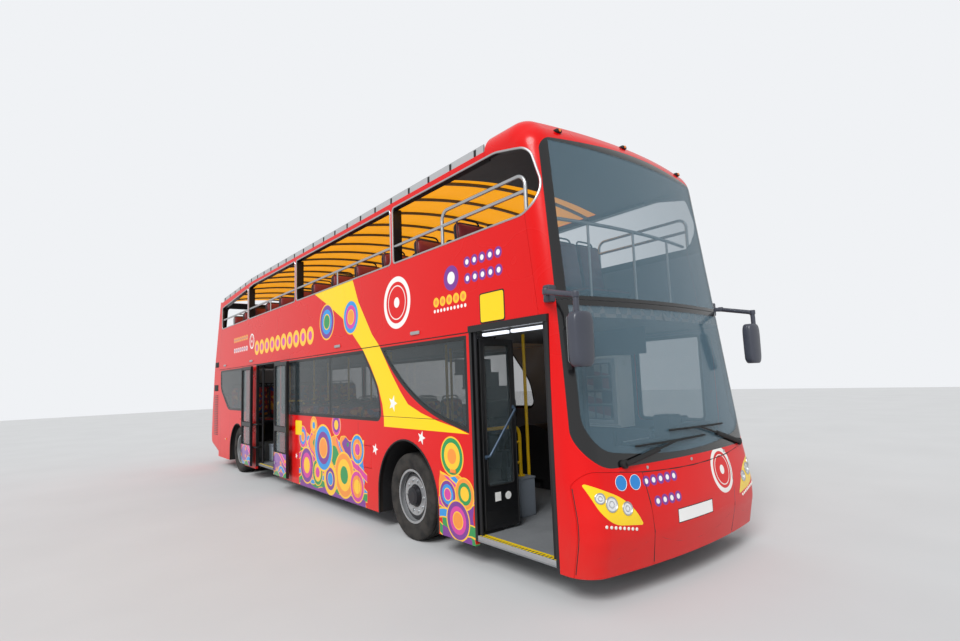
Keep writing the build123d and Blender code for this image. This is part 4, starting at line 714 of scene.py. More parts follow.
def windscreen_glass():
    """Bonded screen glass with its black printed border."""
    finish = Finish("screen_glass", IOR=1.5, Coat_Weight=0.5)
    _, _, y, z = finish.place()
    width = y.math("ABSOLUTE")
    reach = finish.piecewise(z, ((1.0, 1.19), (1.5, 1.17), (2.2, 1.145), (3.0, 1.125), (3.7, 1.10)))
    aside = (width - reach + SCREEN_CORNER).math("MAXIMUM", 0.0)
    below = (width * width * 0.075 + 1.035 + SCREEN_CORNER - z).math("MAXIMUM", 0.0)
    border = (aside * aside + below * below).math("SQRT").above(SCREEN_CORNER, 0.004)
    border = border.math("MAXIMUM", z.within(2.262, 2.345, 0.004))
    border = border.math("MAXIMUM", z.above(3.72, 0.01))
    facing = finish.put("ShaderNodeLayerWeight", {}, {"Blend": 0.35}, out=1)
    clear = facing * 0.55 + 0.20
    finish.set(
        Base_Color=finish.mix(border, srgb(104, 134, 150), srgb(14, 14, 16)),
        Alpha=clear.math("MAXIMUM", border),
        Roughness=border * 0.14 + 0.03,
    )
    return finish.material


def plain(name, colour, rough=0.4, metal=0.0, grain=0.0, scale=60.0, **extra):
    """Moulded, painted or metal finish with slight drift and a fine grain."""
    finish = Finish(name, Metallic=metal, **extra)
    point = finish.flakes(colour, rough=rough)
    if grain:
        finish.bump(finish.noise(point, scale, 4.0), grain, 0.5)
    return finish.material


def brushed(name, colour, rough=0.28):
    """Metal with fine lines along its length."""
    finish = Finish(name, Metallic=1.0)
    point = finish.place()[0]
    lines = finish.noise(finish.scaled(point, 4.0, 160.0, 160.0), 3.0, 2.0)
    finish.set(
        Base_Color=finish.mix(lines, tuple(level * 0.8 for level in colour), colour),
        Roughness=lines * 0.15 + rough,
    )
    return finish.material


def rubber_tyre():
    """Tyre rubber with patches of dust."""
    finish = Finish("tyre_rubber", Specular_IOR_Level=0.3)
    point, *_ = finish.place()
    dust = finish.noise(point, 7.0, 5.0)
    finish.set(
        Base_Color=finish.mix(dust.above(0.45, 0.3), srgb(26, 26, 27), srgb(58, 55, 52)),
        Roughness=dust * 0.2 + 0.68,
    )
    finish.bump(finish.noise(point, 160.0, 3.0), 0.0006, 0.5)
    return finish.material


def rim_paint():
    """Silver rims; on the front wheels a dark hub, and painted shade in the hollow ring inside the flange.
    """
    finish = Finish("rim_silver", Metallic=0.6)
    point, x, _, z = finish.place()
    away = axle_distance(x, (z - WHEEL_Z).math("ABSOLUTE"))
    front = x.above(0.0)
    grain = finish.noise(point, 40.0, 4.0)
    colour = finish.mix(grain, srgb(160, 162, 164), srgb(184, 186, 188))
    # Painted shade in the hollow between the nut circle and the flange of the front rims.
    colour = finish.mix(away.within(0.206, 0.262, 0.008) * front, colour, srgb(74, 74, 76))
    # Dark hub cap of the front rims; its edge also carries painted shade of the recess round it.
    colour = finish.mix(away.below(0.122, 0.004) * front, colour, srgb(52, 52, 56))
    finish.set(Base_Color=colour, Roughness=grain * 0.12 + 0.34)
    return finish.material


def studded_floor():
    """Grey floor sheet with round studs, and painted shade on the wheel houses."""
    finish = Finish("studded_floor")
    point, x, y, z = finish.place()
    studs = finish.cells(finish.scaled(point, 1.0, 1.0, 0.02), 24.0)
    stud = studs.below(0.33, 0.1)
    grime = finish.noise(point, 1.8, 4.0)
    sheet = finish.mix(grime, srgb(96, 99, 102), srgb(140, 143, 146))
    # Painted shade: the wheel houses near the axles are painted near-black.
    arch = axle_distance(x, z - 0.44).below(0.68) * y.math("ABSOLUTE").above(0.58) * z.below(1.12)
    finish.set(
        Base_Color=finish.mix(arch, sheet, srgb(26, 26, 28)),
        Roughness=grime * 0.2 + 0.5,
    )
    finish.bump(stud, 0.0015, 0.6)
    return finish.material


def seat_cloth():
    """Red patterned moquette."""
    finish = Finish("seat_moquette", Sheen_Weight=0.3, Sheen_Roughness=0.5)
    point, *_ = finish.place()
    patch = finish.put("ShaderNodeSeparateXYZ", {}, {0: finish.cells(point, 16.0, out=1)})
    ground = srgb(176, 34, 36)
    tones = (ground, ground, srgb(120, 24, 60), srgb(226, 150, 40), srgb(40, 60, 130))
    stops = [(index / len(tones), tone) for index, tone in enumerate(tones)]
    colour = finish.ramp(patch, stops, stepped=True)
    pile = finish.noise(point, 420.0, 2.0)
    colour = finish.mix(pile * 0.4, colour, srgb(70, 12, 18))
    finish.set(Base_Color=colour, Roughness=pile * 0.1 + 0.82)
    finish.bump(pile, 0.0012, 0.7)
    return finish.material


def canopy_cloth(colour):
    """Coated awning cloth with a painted glow that stands for the daylight coming through it."""
    finish = Finish("canopy_cloth", Sheen_Weight=0.15)
    point, x, y, _ = finish.place()
    weave = (x * 900.0).math("SINE") * (y * 900.0).math("SINE")
    drift = finish.noise(point, 1.4, 3.0)
    dark = tuple(level * 0.85 for level in colour)
    tone = finish.mix(drift, dark, tuple(colour))
    finish.set(Base_Color=tone, Roughness=drift * 0.1 + 0.62)
    # Painted light: the cloth glows in its own colour in place of daylight shining through it.
    finish.set(Emission_Color=tone, Emission_Strength=0.85)
    finish.bump(weave, 0.0004, 0.4)
    return finish.material


LENS_RIBS = 260.0


def lens_finish(name, colour):
    """Clear ribbed lens."""
    finish = Finish(name, Roughness=0.08, Coat_Weight=1.0, Coat_Roughness=0.02)
    point, _, y, z = finish.place()
    finish.bump((y * LENS_RIBS).math("SINE") + (z * LENS_RIBS).math("SINE"), 0.0008, 0.5)
    cloud = finish.noise(point, 30.0)
    finish.set(Base_Color=finish.mix(cloud, tuple(level * 0.75 for level in colour), colour))
    return finish.material


def leaflet_print():
    """Plain leaflets in red and white bands."""
    finish = Finish("leaflet_print")
    point, x, _, z = finish.place()
    band = (z * 22.0 + x * 4.0).math("SINE").above(0.2, 0.1)
    drift = finish.noise(point, 12.0)
    colour = finish.mix(band, srgb(196, 34, 50), srgb(232, 226, 222))
    finish.set(Base_Color=colour, Roughness=drift * 0.1 + 0.35)
    return finish.material


def make_finishes(paint):
    black = srgb(20, 20, 22)
    finishes.update(
        coach=livery(paint),
        nose=nose_livery(paint),
        tail=tail_livery(paint),
        frame=frame_paint(paint),
        screen=windscreen_glass(),
        side_glass=glass("side_glass", srgb(58, 68, 72), 0.26, 0.40).material,
        door_glass=glass("door_glass", srgb(90, 104, 108), 0.18, 0.5).material,
        door_print=leaf_print(),
        black=plain("frame_black", black, 0.35, grain=0.0005),
        gloss_black=plain("gloss_black", black, 0.12, Coat_Weight=0.6),
        rubber=plain("seal_rubber", srgb(24, 24, 25), 0.7, grain=0.0006),
        grey=plain("cab_grey", srgb(56, 64, 74), 0.5, grain=0.0006),
        housing=plain("housing_grey", srgb(66, 69, 80), 0.32, grain=0.0004),
        bar_blue=plain("bar_slate", srgb(70, 88, 108), 0.32, metal=0.4),
        vinyl=plain("seat_vinyl", srgb(122, 30, 38), 0.42, grain=0.0008, scale=220.0, Sheen_Weight=0.1),
        piping=plain("seat_piping", srgb(34, 30, 34), 0.55, grain=0.0005),
        pale_box=plain("box_grey", srgb(132, 140, 150), 0.5, grain=0.0006),
        cabinet_grey=plain("cabinet_frame", srgb(172, 178, 184), 0.35, metal=0.2),
        leaflet=leaflet_print(),
        led_glow=plain(
            "led_glow", srgb(244, 246, 250), 0.3, Emission_Color=srgb(236, 242, 255), Emission_Strength=1.2
        ),
        pale_grey=plain("lining_grey", srgb(176, 178, 180), 0.5, grain=0.0005),
        white=plain("cabinet_white", srgb(226, 226, 222), 0.3),
        yellow=plain("pole_yellow", srgb(250, 200, 0), 0.3, Coat_Weight=0.4),
        lamp_yellow=plain("lamp_yellow", srgb(255, 212, 4), 0.22, Coat_Weight=0.4),
        steel=brushed("brushed_steel", srgb(208, 210, 212)),
        bow=plain("bow_grey", srgb(88, 84, 80), 0.45, metal=0.3, grain=0.0004),
        rim=rim_paint(),
        dark_metal=plain("dark_metal", srgb(52, 52, 54), 0.45, metal=0.8, grain=0.0006),
        chassis=plain("chassis_black", srgb(34, 34, 36), 0.6, grain=0.001, scale=25.0),
        coach_shadow=plain("coach_shadow", srgb(112, 18, 22), 0.35),
        iron=plain("engine_iron", srgb(62, 62, 64), 0.65, metal=0.5, grain=0.0015, scale=30.0),
        tyre=rubber_tyre(),
        floor=studded_floor(),
        seat=seat_cloth(),
        seat_shell=plain("seat_shell", srgb(48, 50, 56), 0.5, grain=0.0004),
        canopy=canopy_cloth(paint.canopy),
        lens=lens_finish("lamp_lens", srgb(236, 238, 240)),
        amber=lens_finish("amber_lens", srgb(255, 140, 10)),
        red_lens=lens_finish("red_lens", srgb(190, 12, 14)),
        led=plain("led_white", srgb(240, 240, 232), 0.15),
        print_white=plain("print_white", srgb(246, 246, 244), 0.35),
        print_blue=plain("print_blue", srgb(38, 132, 208), 0.35),
        print_yellow=plain("print_yellow", srgb(255, 214, 0), 0.35),
        mirror=plain("mirror_glass", srgb(200, 204, 206), 0.04, metal=1.0),
    )


CAD_FINISHES = {
    "nose": "nose_surround lamp_panels nose_centre_panel roof_hood",
    "tail": "tail_lower tail_upper engine_hatch",
    "coach": "right_rear_skin right_centre_skin left_lower_skin upper_skins fuel_flap",
    "frame": "top_frames",
    "screen": "windscreens",
    "side_glass": "side_panes",
    "door_glass": "front_door_pane_rear front_door_pane_front mid_door_pane_rear mid_door_pane_front",
    "lamp_yellow": "lamp_bases",
    "lens": "lamp_lenses",
    "gloss_black": "tail_lamps",
    "black": (
        "side_window_frames door_frames front_door_leaf_rear front_door_leaf_front "
        "mid_door_leaf_rear mid_door_leaf_front steering_wheel"
    ),
    "dark_metal": "front_door_post_rear front_door_post_front mid_door_arm_rear mid_door_arm_front",
    "canopy": "canopy",
    "bow": "canopy_bows",
    "housing": "mirrors",
    "floor": "lower_floor upper_floor",
    "grey": "staircase cab_partition driver_console",
    "white": "cab_cabinet",
    "chassis": "chassis_frame front_axle rear_axle left_knuckle right_knuckle",
    "iron": "engine_block",
    "rim": "left_front_rim right_front_rim left_rear_rims right_rear_rims",
    "tyre": "left_front_tyre right_front_tyre left_rear_tyres right_rear_tyres",
    "seat": "lower_seats upper_seats",
    "yellow": "hand_poles",
    "steel": "upper_rails",
}


def dress_frame():
    """Gives every node of the frame its finish."""
    bare = set(NODES)
    for finish, names in CAD_FINISHES.items():
        for name in names.split():
            data = NODES[name].data
            data.materials.clear()
            data.materials.append(finishes[finish])
            bare.discard(name)
    if bare:
        raise RuntimeError(f"no finish for {sorted(bare)}")


# Wheels


TYRE_SECTION = (  # radius, across, from the inner bead round the tread to the outer bead
    (0.287, -0.104), (0.300, -0.122), (0.330, -0.132), (0.365, -0.1375), (0.395, -0.137),
    (0.425, -0.132), (0.438, -0.124), (0.4515, -0.118), (0.458, -0.108),
    (0.4595, -0.086), (0.4595, -0.074), (0.448, -0.073), (0.448, -0.062), (0.4598, -0.061),
    (0.460, -0.030), (0.460, -0.028), (0.448, -0.027), (0.448, -0.016), (0.460, -0.015),
    (0.460, 0.015), (0.448, 0.016), (0.448, 0.027), (0.460, 0.028), (0.460, 0.030),
    (0.4598, 0.061), (0.448, 0.062), (0.448, 0.073), (0.4595, 0.074), (0.4595, 0.086),
    (0.458, 0.108), (0.4515, 0.118), (0.438, 0.124), (0.425, 0.132), (0.395, 0.137),
    (0.365, 0.1375), (0.330, 0.132), (0.300, 0.122), (0.287, 0.104), (0.300, 0.0), (0.300, -0.05),
)
NUT_CIRCLE = 0.1675
NUT_COUNT = 10
WHEELS = (  # name, x, tyre middles, body and tyre suffixes, nut face, hole circle and hole face
    ("front", 3.2, (1.085,), "front_wheel", "front_tyre", 0.0605, 0.233, 0.055),
    ("rear", -3.55, (1.085, 0.769), "rear_wheels", "rear_tyres", -0.140, 0.236, -0.124),
)
RIM_LIP = ((0.262, 0.098), (0.2855, 0.100), (0.288, 0.110), (0.264, 0.109))


def nut(shape, x, y, z, side, size=0.016, height=0.024):
    """Six sided nut on its washer, standing outwards."""
    shape.plate(circle(x, z, size, 6), "Y", y, y + side * height, 0.003)
    shape.disc((x, y, z), "Y", size * 1.25, side * 0.004, 16)


def spokes(x, radius, shift):
    """Places of the nuts or holes round a wheel's axle."""
    turns = [2 * math.pi * (step + shift) / NUT_COUNT for step in range(NUT_COUNT)]
    return [(x + radius * math.sin(turn), WHEEL_Z + radius * math.cos(turn)) for turn in turns]


def build_wheels():
    """Grooved tyres, wheel nuts, hand holes and rim lips."""
    shape = Shape()
    for name, x, middles, body_tail, tyre_tail, nut_y, hole_r, hole_y in WHEELS:
        for side_name, side in SIDES:
            body = f"{side_name}_{body_tail}"
            start = f"{side_name}_{name}"
            for middle in middles:
                shape.turn(TYRE_SECTION, (x, side * middle, WHEEL_Z), side, 96)
            tyre = shape.piece(f"{start}_tread", "tyre", body, smooth=50)
            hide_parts(f"{side_name}_{tyre_tail}")
            for u, v in spokes(x, NUT_CIRCLE, 0.5):
                nut(shape, u, side * (middles[0] + nut_y), v, side)
            shape.piece(f"{start}_nuts", "steel", body, "rim_steel")
            # Painted shade: dark discs laid on the rim stand for the shaded hand holes.
            for u, v in spokes(x, hole_r, 0.0):
                shape.disc((u, side * (middles[0] + hole_y), v), "Y", 0.019, side * 0.006, 20, 0.002)
            shape.piece(f"{start}_hand_holes", "rubber", body, "chassis_black")
            shape.turn(RIM_LIP, (x, side * middles[0], WHEEL_Z), side, 96)
            shape.piece(f"{start}_rim_lip", "rim", body)


# Nose


def patch_on(skin, shape, low, high, proud, columns=12, rows=3, thick=0.003):
    """Thin plate laid on a skin so that it follows its bulge."""
    points = []
    for lift in (proud, proud - thick):
        for row in range(rows + 1):
            v = low[1] + (high[1] - low[1]) * row / rows
            for column in range(columns + 1):
                points.append(skin.at(low[0] + (high[0] - low[0]) * column / columns, v, lift))
    shape.add(points, slab_faces(columns, rows))


def line_on(skin, shape, places, radius, proud=0.0, sides=6, closed=False):
    """Round bead laid on a skin along its places."""
    shape.tube([skin.at(place[0], place[1], proud) for place in places], radius, sides, closed)


def badge_on_nose(shape, y, z, radius, thick, sides=28):
    """Round flat disc laid on the nose."""
    rim = [NOSE.at(u, v, thick) for u, v in circle(y, z, radius, sides)]
    faces = [(0, 1 + step, 1 + (step + 1) % sides) for step in range(sides)]
    shape.add([NOSE.at(y, z, thick), *rim], faces)


LAMP_RINGS = (  # y, z, radius
    (1.135, 0.790, 0.036),
    (1.045, 0.738, 0.052),
    (0.900, 0.690, 0.046),
)
RUNNING_LIGHTS = 8
BUMPER_LINE = (
    (-0.64, 0.47), (-0.50, 0.40), (-0.30, 0.340), (0, 0.315), (0.30, 0.340), (0.50, 0.40), (0.64, 0.47),
)
CHEEK_LINE = ((0.70, 0.415), (0.85, 0.375), (1.00, 0.340), (1.12, 0.318))
PANEL_SEAMS = (  # y, z, down the gaps between the nose panels and over them
    ((0.668, 0.926), (0.6465, 0.690), (0.628, 0.480), (0.607, 0.240)),
    ((0.0, 0.905), (0.25, 0.9085), (0.50, 0.918), (0.668, 0.928), (0.90, 0.9525), (1.20, 0.984)),
    tuple((1.264, 0.86 - 0.0515 * step) for step in range(13)),
)


def build_nose():
    """Lamp rings, running lights, plate, seams, wipers and blank signs of the nose."""
    shape = Shape()
    for y, z, radius in LAMP_RINGS:
        line_on(NOSE, shape, circle(y, z, radius), 0.0055, 0.001, 8, closed=True)
        line_on(NOSE, shape, circle(y, z, radius * 0.45, 16), 0.003, 0.001, 6, closed=True)
    shape.mirrored()
    shape.piece("lamp_rings", "steel", slot="rim_steel")
    for step in range(RUNNING_LIGHTS):
        share = step / (RUNNING_LIGHTS - 1)
        spot = NOSE.at(0.83 + share * 0.29, 0.530 + share * 0.060, 0.002)
        shape.disc((spot.x - 0.006, spot.y, spot.z), "X", 0.0125, 0.009, 14, 0.0015)
    shape.mirrored()
    shape.piece("running_lights", "led")
    patch_on(NOSE, shape, (-0.332, 0.487), (0.192, 0.601), 0.0002)
    shape.piece("plate_holder", "rubber")
    patch_on(NOSE, shape, (-0.325, 0.494), (0.185, 0.594), 0.0005)
    shape.piece("front_plate", "print_white")
    for line in (BUMPER_LINE, CHEEK_LINE, [(-y, z) for y, z in CHEEK_LINE]):
        line_on(NOSE, shape, bent([(u, v, 0) for u, v in line], 0.3, 3), 0.006, -0.0055, 6)
    shape.piece("bumper_line", "coach_shadow")
    for line, round_by in zip(PANEL_SEAMS, (0.3, 0.09, 0.05)):
        for side in BOTH:
            places = bent([(side * u, v, 0) for u, v in line], round_by, 6)
            line_on(NOSE, shape, places, 0.0065, -0.0045, 6)
    shape.piece("panel_seams", "rubber")
    build_wipers()
    for y, z in ((-0.916, 0.875), (-0.770, 0.864)):
        badge_on_nose(shape, y, z, 0.056, 0.003)
    shape.piece("round_signs", "print_blue")
    for y, z in ((-0.916, 0.875), (-0.770, 0.864)):
        line_on(NOSE, shape, circle(y, z, 0.056), 0.002, 0.003, 6, closed=True)
    shape.piece("round_sign_rims", "print_white")
    for y in (-1.0, 0.0, 1.0):
        spot = NOSE.at(y * 0.60, 0.955, 0.0)
        shape.disc((spot.x - 0.004, spot.y, spot.z), "X", 0.014, 0.009, 16, 0.002)
    shape.piece("panel_locks", "steel", slot="rim_steel")


WIPERS = (  # pivot y, z, blade ends y, z
    ((-0.85, 1.005), (-0.70, 1.125), (0.275, 1.13)),
    ((0.99, 1.00), (-0.255, 1.215), (0.664, 1.20)),
)


def build_wipers():
    """Two wipers parked along the foot of the windscreen."""
    shape = Shape()
    for pivot, start, end in WIPERS:
        root = NOSE.at(*pivot, 0.012)
        blade = []
        for step in range(13):
            share = step / 12
            y = start[0] + (end[0] - start[0]) * share
            z = start[1] + (end[1] - start[1]) * share
            blade.append(NOSE.at(y, z, 0.014))
        shape.tube(blade, 0.0085, 8)
        lift = Vector((0.020, 0, 0.0))
        spine = [point + lift * 0.9 for point in blade[3:10]]
        shape.tube(spine, 0.0065, 8)
        for index in (3, 6, 9):
            shape.tube([blade[index], blade[index] + lift], 0.0055, 6)
        knee = root.lerp(blade[6], 0.62) + lift
        shape.tube([root + lift * 0.6, knee], 0.021, 10)
        shape.tube([knee, blade[6] + lift], 0.009, 8)
        shape.disc((root.x - 0.025, root.y, root.z), "X", 0.034, 0.044, 18, 0.006)
    shape.piece("wipers", "rubber")


# Side trim


ARCHES = ((3.2, 0.45, 0.62), (-3.55, 0.43, 0.55))  # x, z, radius
SKIRT_Z = 0.21


def build_side_trim():
    """Arch lips, the strips between the decks, markers, lamps and blank signs."""
    shape = Shape()
    for x, z, radius in ARCHES:
        route = [(x - radius, SKIRT_Z)]
        for step in range(25):
            angle = math.pi * (1 - step / 24)
            route.append((x + radius * math.cos(angle), z + radius * math.sin(angle)))
        route.append((x + radius, SKIRT_Z))
        shape.tube([(u, SKIN + 0.002, v) for u, v in route], 0.011, 8)
    shape.mirrored()
    shape.piece("arch_lips", "rubber")
    for (name, side), front in zip(SIDES, (4.40, 5.36)):
        low, high = sorted((side * (HALF_WIDTH - 0.01), side * (HALF_WIDTH + 0.003)))
        shape.box((-5.09, low, 2.140), (front, high, 2.149), 0.002)
        shape.piece(f"{name}_deck_strip", "rubber")
    for x, z in ((4.10, 0.83), (-0.75, 0.60), (-4.45, 0.62)):
        shape.box((x - 0.045, SKIN - 0.012, z - 0.016), (x + 0.045, SKIN + 0.004, z + 0.016), 0.005)
    shape.mirrored()
    shape.piece("side_markers", "amber")
    for x in (3.47, 1.45, -2.60, -4.6):
        shape.box((x - 0.09, SKIN - 0.018, 2.205), (x + 0.09, SKIN + 0.004, 2.245), 0.012)
    shape.mirrored()
    shape.piece("deck_lamps", "steel")
    shape.plate(rectangle(4.60, 2.205, 4.95, 2.485, 0.03), "Y", SKIN - 0.002, SKIN + 0.001)
    shape.piece("sign_border", "rubber")
    shape.plate(rectangle(4.612, 2.217, 4.938, 2.473, 0.024), "Y", SKIN - 0.0035, SKIN)
    shape.plate(rectangle(-0.17, 0.95, 0.10, 1.17, 0.02), "Y", SKIN - 0.002, SKIN)
    shape.piece("yellow_signs", "print_yellow")
    build_stars()


STARS = ((2.95, 1.465, 0.098), (3.54, 1.115, 0.075), (2.50, 0.92, 0.072), (-0.13, 0.62, 0.045))  # x, z, size
STAR_TURN = 0.3


def build_stars():
    """White stars on the coachwork."""
    shape = Shape()
    for x, z, size in STARS:
        outline = []
        for step in range(10):
            angle = STAR_TURN + math.pi * step / 5
            radius = size * (0.42 if step % 2 else 1.0)
            outline.append((x + radius * math.sin(angle), z + radius * math.cos(angle)))
        shape.plate(outline, "Y", SKIN - 0.0015, SKIN + 0.001)
    shape.mirrored()
    shape.piece("paint_stars", "print_white")


# Upper deck


BAYS = (  # corners in x, z and the rounding of each
    ((-4.917, 3.08), (-2.885, 3.08), (-2.885, 3.698), (-4.917, 3.555)),
    ((-2.815, 3.08), (-0.205, 3.08), (-0.205, 3.73), (-2.50, 3.73), (-2.815, 3.703)),
    ((-0.135, 3.08), (2.955, 3.08), (2.955, 3.73), (-0.135, 3.73)),
)
FRONT_BAY = (  # x, z, rounding
    (3.025, 3.08, 0.04), (5.30, 3.08, 0.195), (5.395, 3.281, 0.26), (5.30, 3.639, 0.13),
    (4.90, 3.73, 0.487), (3.025, 3.73, 0.04),
)
BEAD_R = 0.011
BAY_RADIUS = 0.045


def corner_arc(before, corner, after, radius, steps):
    """True arc that rounds one corner of an outline."""
    into = (before - corner).normalized()
    away = (after - corner).normalized()
    half = into.angle(away) / 2
    reach = radius / math.tan(half)
    centre = corner + (into + away).normalized() * (radius / math.sin(half))
    start = (corner + into * reach - centre).normalized()
    end = (corner + away * reach - centre).normalized()
    return [centre + start.slerp(end, step / steps) * radius for step in range(steps + 1)]


def arcs_round(corners, steps=6):
    """Outline of (u, v, radius) corners, each rounded by a true arc."""
    out = []
    for index, (u, v, radius) in enumerate(corners):
        before = Vector((*corners[index - 1][:2], 0))
        after = Vector((*corners[(index + 1) % len(corners)][:2], 0))
        out += [(spot.x, spot.y) for spot in corner_arc(before, Vector((u, v, 0)), after, radius, steps)]
    return out


def bay_outlines():
    """Closed outlines of the four openings of one side."""
    bays = [[(x, z, BAY_RADIUS) for x, z in bay] for bay in BAYS]
    return [arcs_round(corners) for corners in (*bays, FRONT_BAY)]


def spread(outline, pitch):
    """Points along a closed outline, none further apart than the pitch."""
    out = []
    for here, after in zip(outline, outline[1:] + outline[:1]):
        count = max(1, math.ceil(math.dist(here, after) / pitch))
        for step in range(count):
            share = step / count
            out.append((here[0] + (after[0] - here[0]) * share, here[1] + (after[1] - here[1]) * share))
    return out


def grown(outline, amount):
    """Outline moved outwards by an amount."""
    out = []
    count = len(outline)
    for index, here in enumerate(outline):
        before, after = outline[index - 1], outline[(index + 1) % count]
        along = Vector((after[0] - before[0], after[1] - before[1]))
        if along.length < 1e-9:
            continue
        along.normalize()
        out.append((here[0] + along.y * amount, here[1] - along.x * amount))
    return out


def skin_y(x, z):
    """How far out the right skin stands at a place."""
    return RIGHT.at(x, z).y if x > 4.5 else SKIN


TRACK_ROUTE = ((-4.88, 3.695), (-2.75, 3.800), (-2.60, 3.8035), (4.72, 3.8035))  # x, z
TRACK_SECTION = ((1.232, 0.0), (1.262, 0.0), (1.258, 0.082), (1.244, 0.090))  # y, rise
TRACK_FACES = ((0, 1, 5, 4), (1, 2, 6, 5), (2, 3, 7, 6), (3, 0, 4, 7), (3, 2, 1, 0), (4, 5, 6, 7))


def build_upper_edges():
    """Silver beads round the openings, the canopy's side tracks and their clips."""
    shape = Shape()
    for outline in bay_outlines():
        places = spread(grown(outline, 0.007), 0.09)
        shape.tube([(x, skin_y(x, z) + 0.003, z) for x, z in places], BEAD_R, 8, closed=True)
    shape.mirrored()
    shape.piece("opening_beads", "steel")
    for ends in zip(TRACK_ROUTE, TRACK_ROUTE[1:]):
        shape.add([(x, y, z + rise) for x, z in ends for y, rise in TRACK_SECTION], TRACK_FACES)
    shape.mirrored()
    shape.piece("canopy_side_tracks", "pale_grey")
    for step in range(24):
        x = -4.72 + 0.405 * step
        z = 3.8135 if x > -2.68 else 3.8110 + (x + 2.75) * 0.0493
        shape.box((x - 0.016, 1.254, z - 0.006), (x + 0.016, 1.266, z + 0.060), 0.003)
    shape.mirrored()
    shape.piece("track_clips", "rubber")


CANOPY_REAR = -4.88
CANOPY_FRONT = 4.90
CANOPY_EDGE_Z = 3.8063
CANOPY_CROWN_Z = 3.930
CANOPY_HALF = 1.215
SLOPE_X = -2.70
SLOPE_DROP = 0.108
BOW_PITCH = 0.60
BOW_FIRST = 4.48
SAG = 0.011


def canopy_point(x, share, lift=0.0):
    """Place on the canopy: share is -1 at the right hem and 1 at the left."""
    chord = CANOPY_CROWN_Z - CANOPY_EDGE_Z
    arc_r = (CANOPY_HALF**2 + chord**2) / (2 * chord)
    y = CANOPY_HALF * share
    z = CANOPY_CROWN_Z - arc_r + math.sqrt(arc_r**2 - y**2)
    if x < SLOPE_X:
        z -= SLOPE_DROP * (SLOPE_X - x) / 2.18
    beat = ((x - BOW_FIRST) / BOW_PITCH) % 1.0
    dip = SAG * (1 - (2 * abs(beat - 0.5)) ** 2) * math.cos(share * math.pi / 2) ** 0.5
    return Vector((x, y, z - dip + lift))


def build_canopy():
    """Cloth stretched over the bows, with its hems and seams."""
    columns, rows = 17 * 8, 28
    length = CANOPY_FRONT - CANOPY_REAR
    shape = Shape()
    points = []
    for lift in (-0.001, -0.0045):
        for column in range(columns + 1):
            x = CANOPY_REAR + length * column / columns
            points += [canopy_point(x, -1 + 2 * row / rows, lift) for row in range(rows + 1)]
    shape.add(points, slab_faces(rows, columns))
    cloth = shape.piece("canopy_cloth", "canopy", smooth=60)
    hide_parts("canopy")
    for x in (CANOPY_REAR + 0.012, CANOPY_FRONT - 0.012, SLOPE_X, -0.3, 2.1):
        shape.tube([canopy_point(x, -1 + 2 * row / 40, 0.0005) for row in range(41)], 0.0035, 6)
    for side in BOTH:
        hem = [canopy_point(CANOPY_REAR + length * step / 119, side * 0.992, 0.0005) for step in range(120)]
        shape.tube(hem, 0.0045, 6)
    welts = shape.piece("canopy_welts", "canopy")


# Seats


LOWER_ROWS = (  # side, x, floor
    (-1, 2.25, 0.30), (-1, 1.50, 0.30), (-1, 0.75, 0.30), (-1, 0.0, 0.30),
    (1, 1.15, 0.30), (1, 0.40, 0.30), (1, -0.35, 0.30), (1, -1.10, 0.30), (1, -1.85, 0.30),
    (-1, -2.95, 0.64), (-1, -3.585, 0.64), (-1, -4.22, 0.64),
    (1, -2.95, 0.64), (1, -3.585, 0.64), (1, -4.22, 0.64),
)
UPPER_FIRST = 4.30
UPPER_PITCH = 0.78
UPPER_FLOOR = 2.24
UPPER_SKIP_LEFT = (2.74, 1.96)


def upper_rows():
    out = []
    for step in range(12):
        x = UPPER_FIRST - UPPER_PITCH * step
        for side in BOTH:
            if side > 0 and any(abs(x - skip) < 0.01 for skip in UPPER_SKIP_LEFT):
                continue
            out.append((side, x, UPPER_FLOOR))
    return out


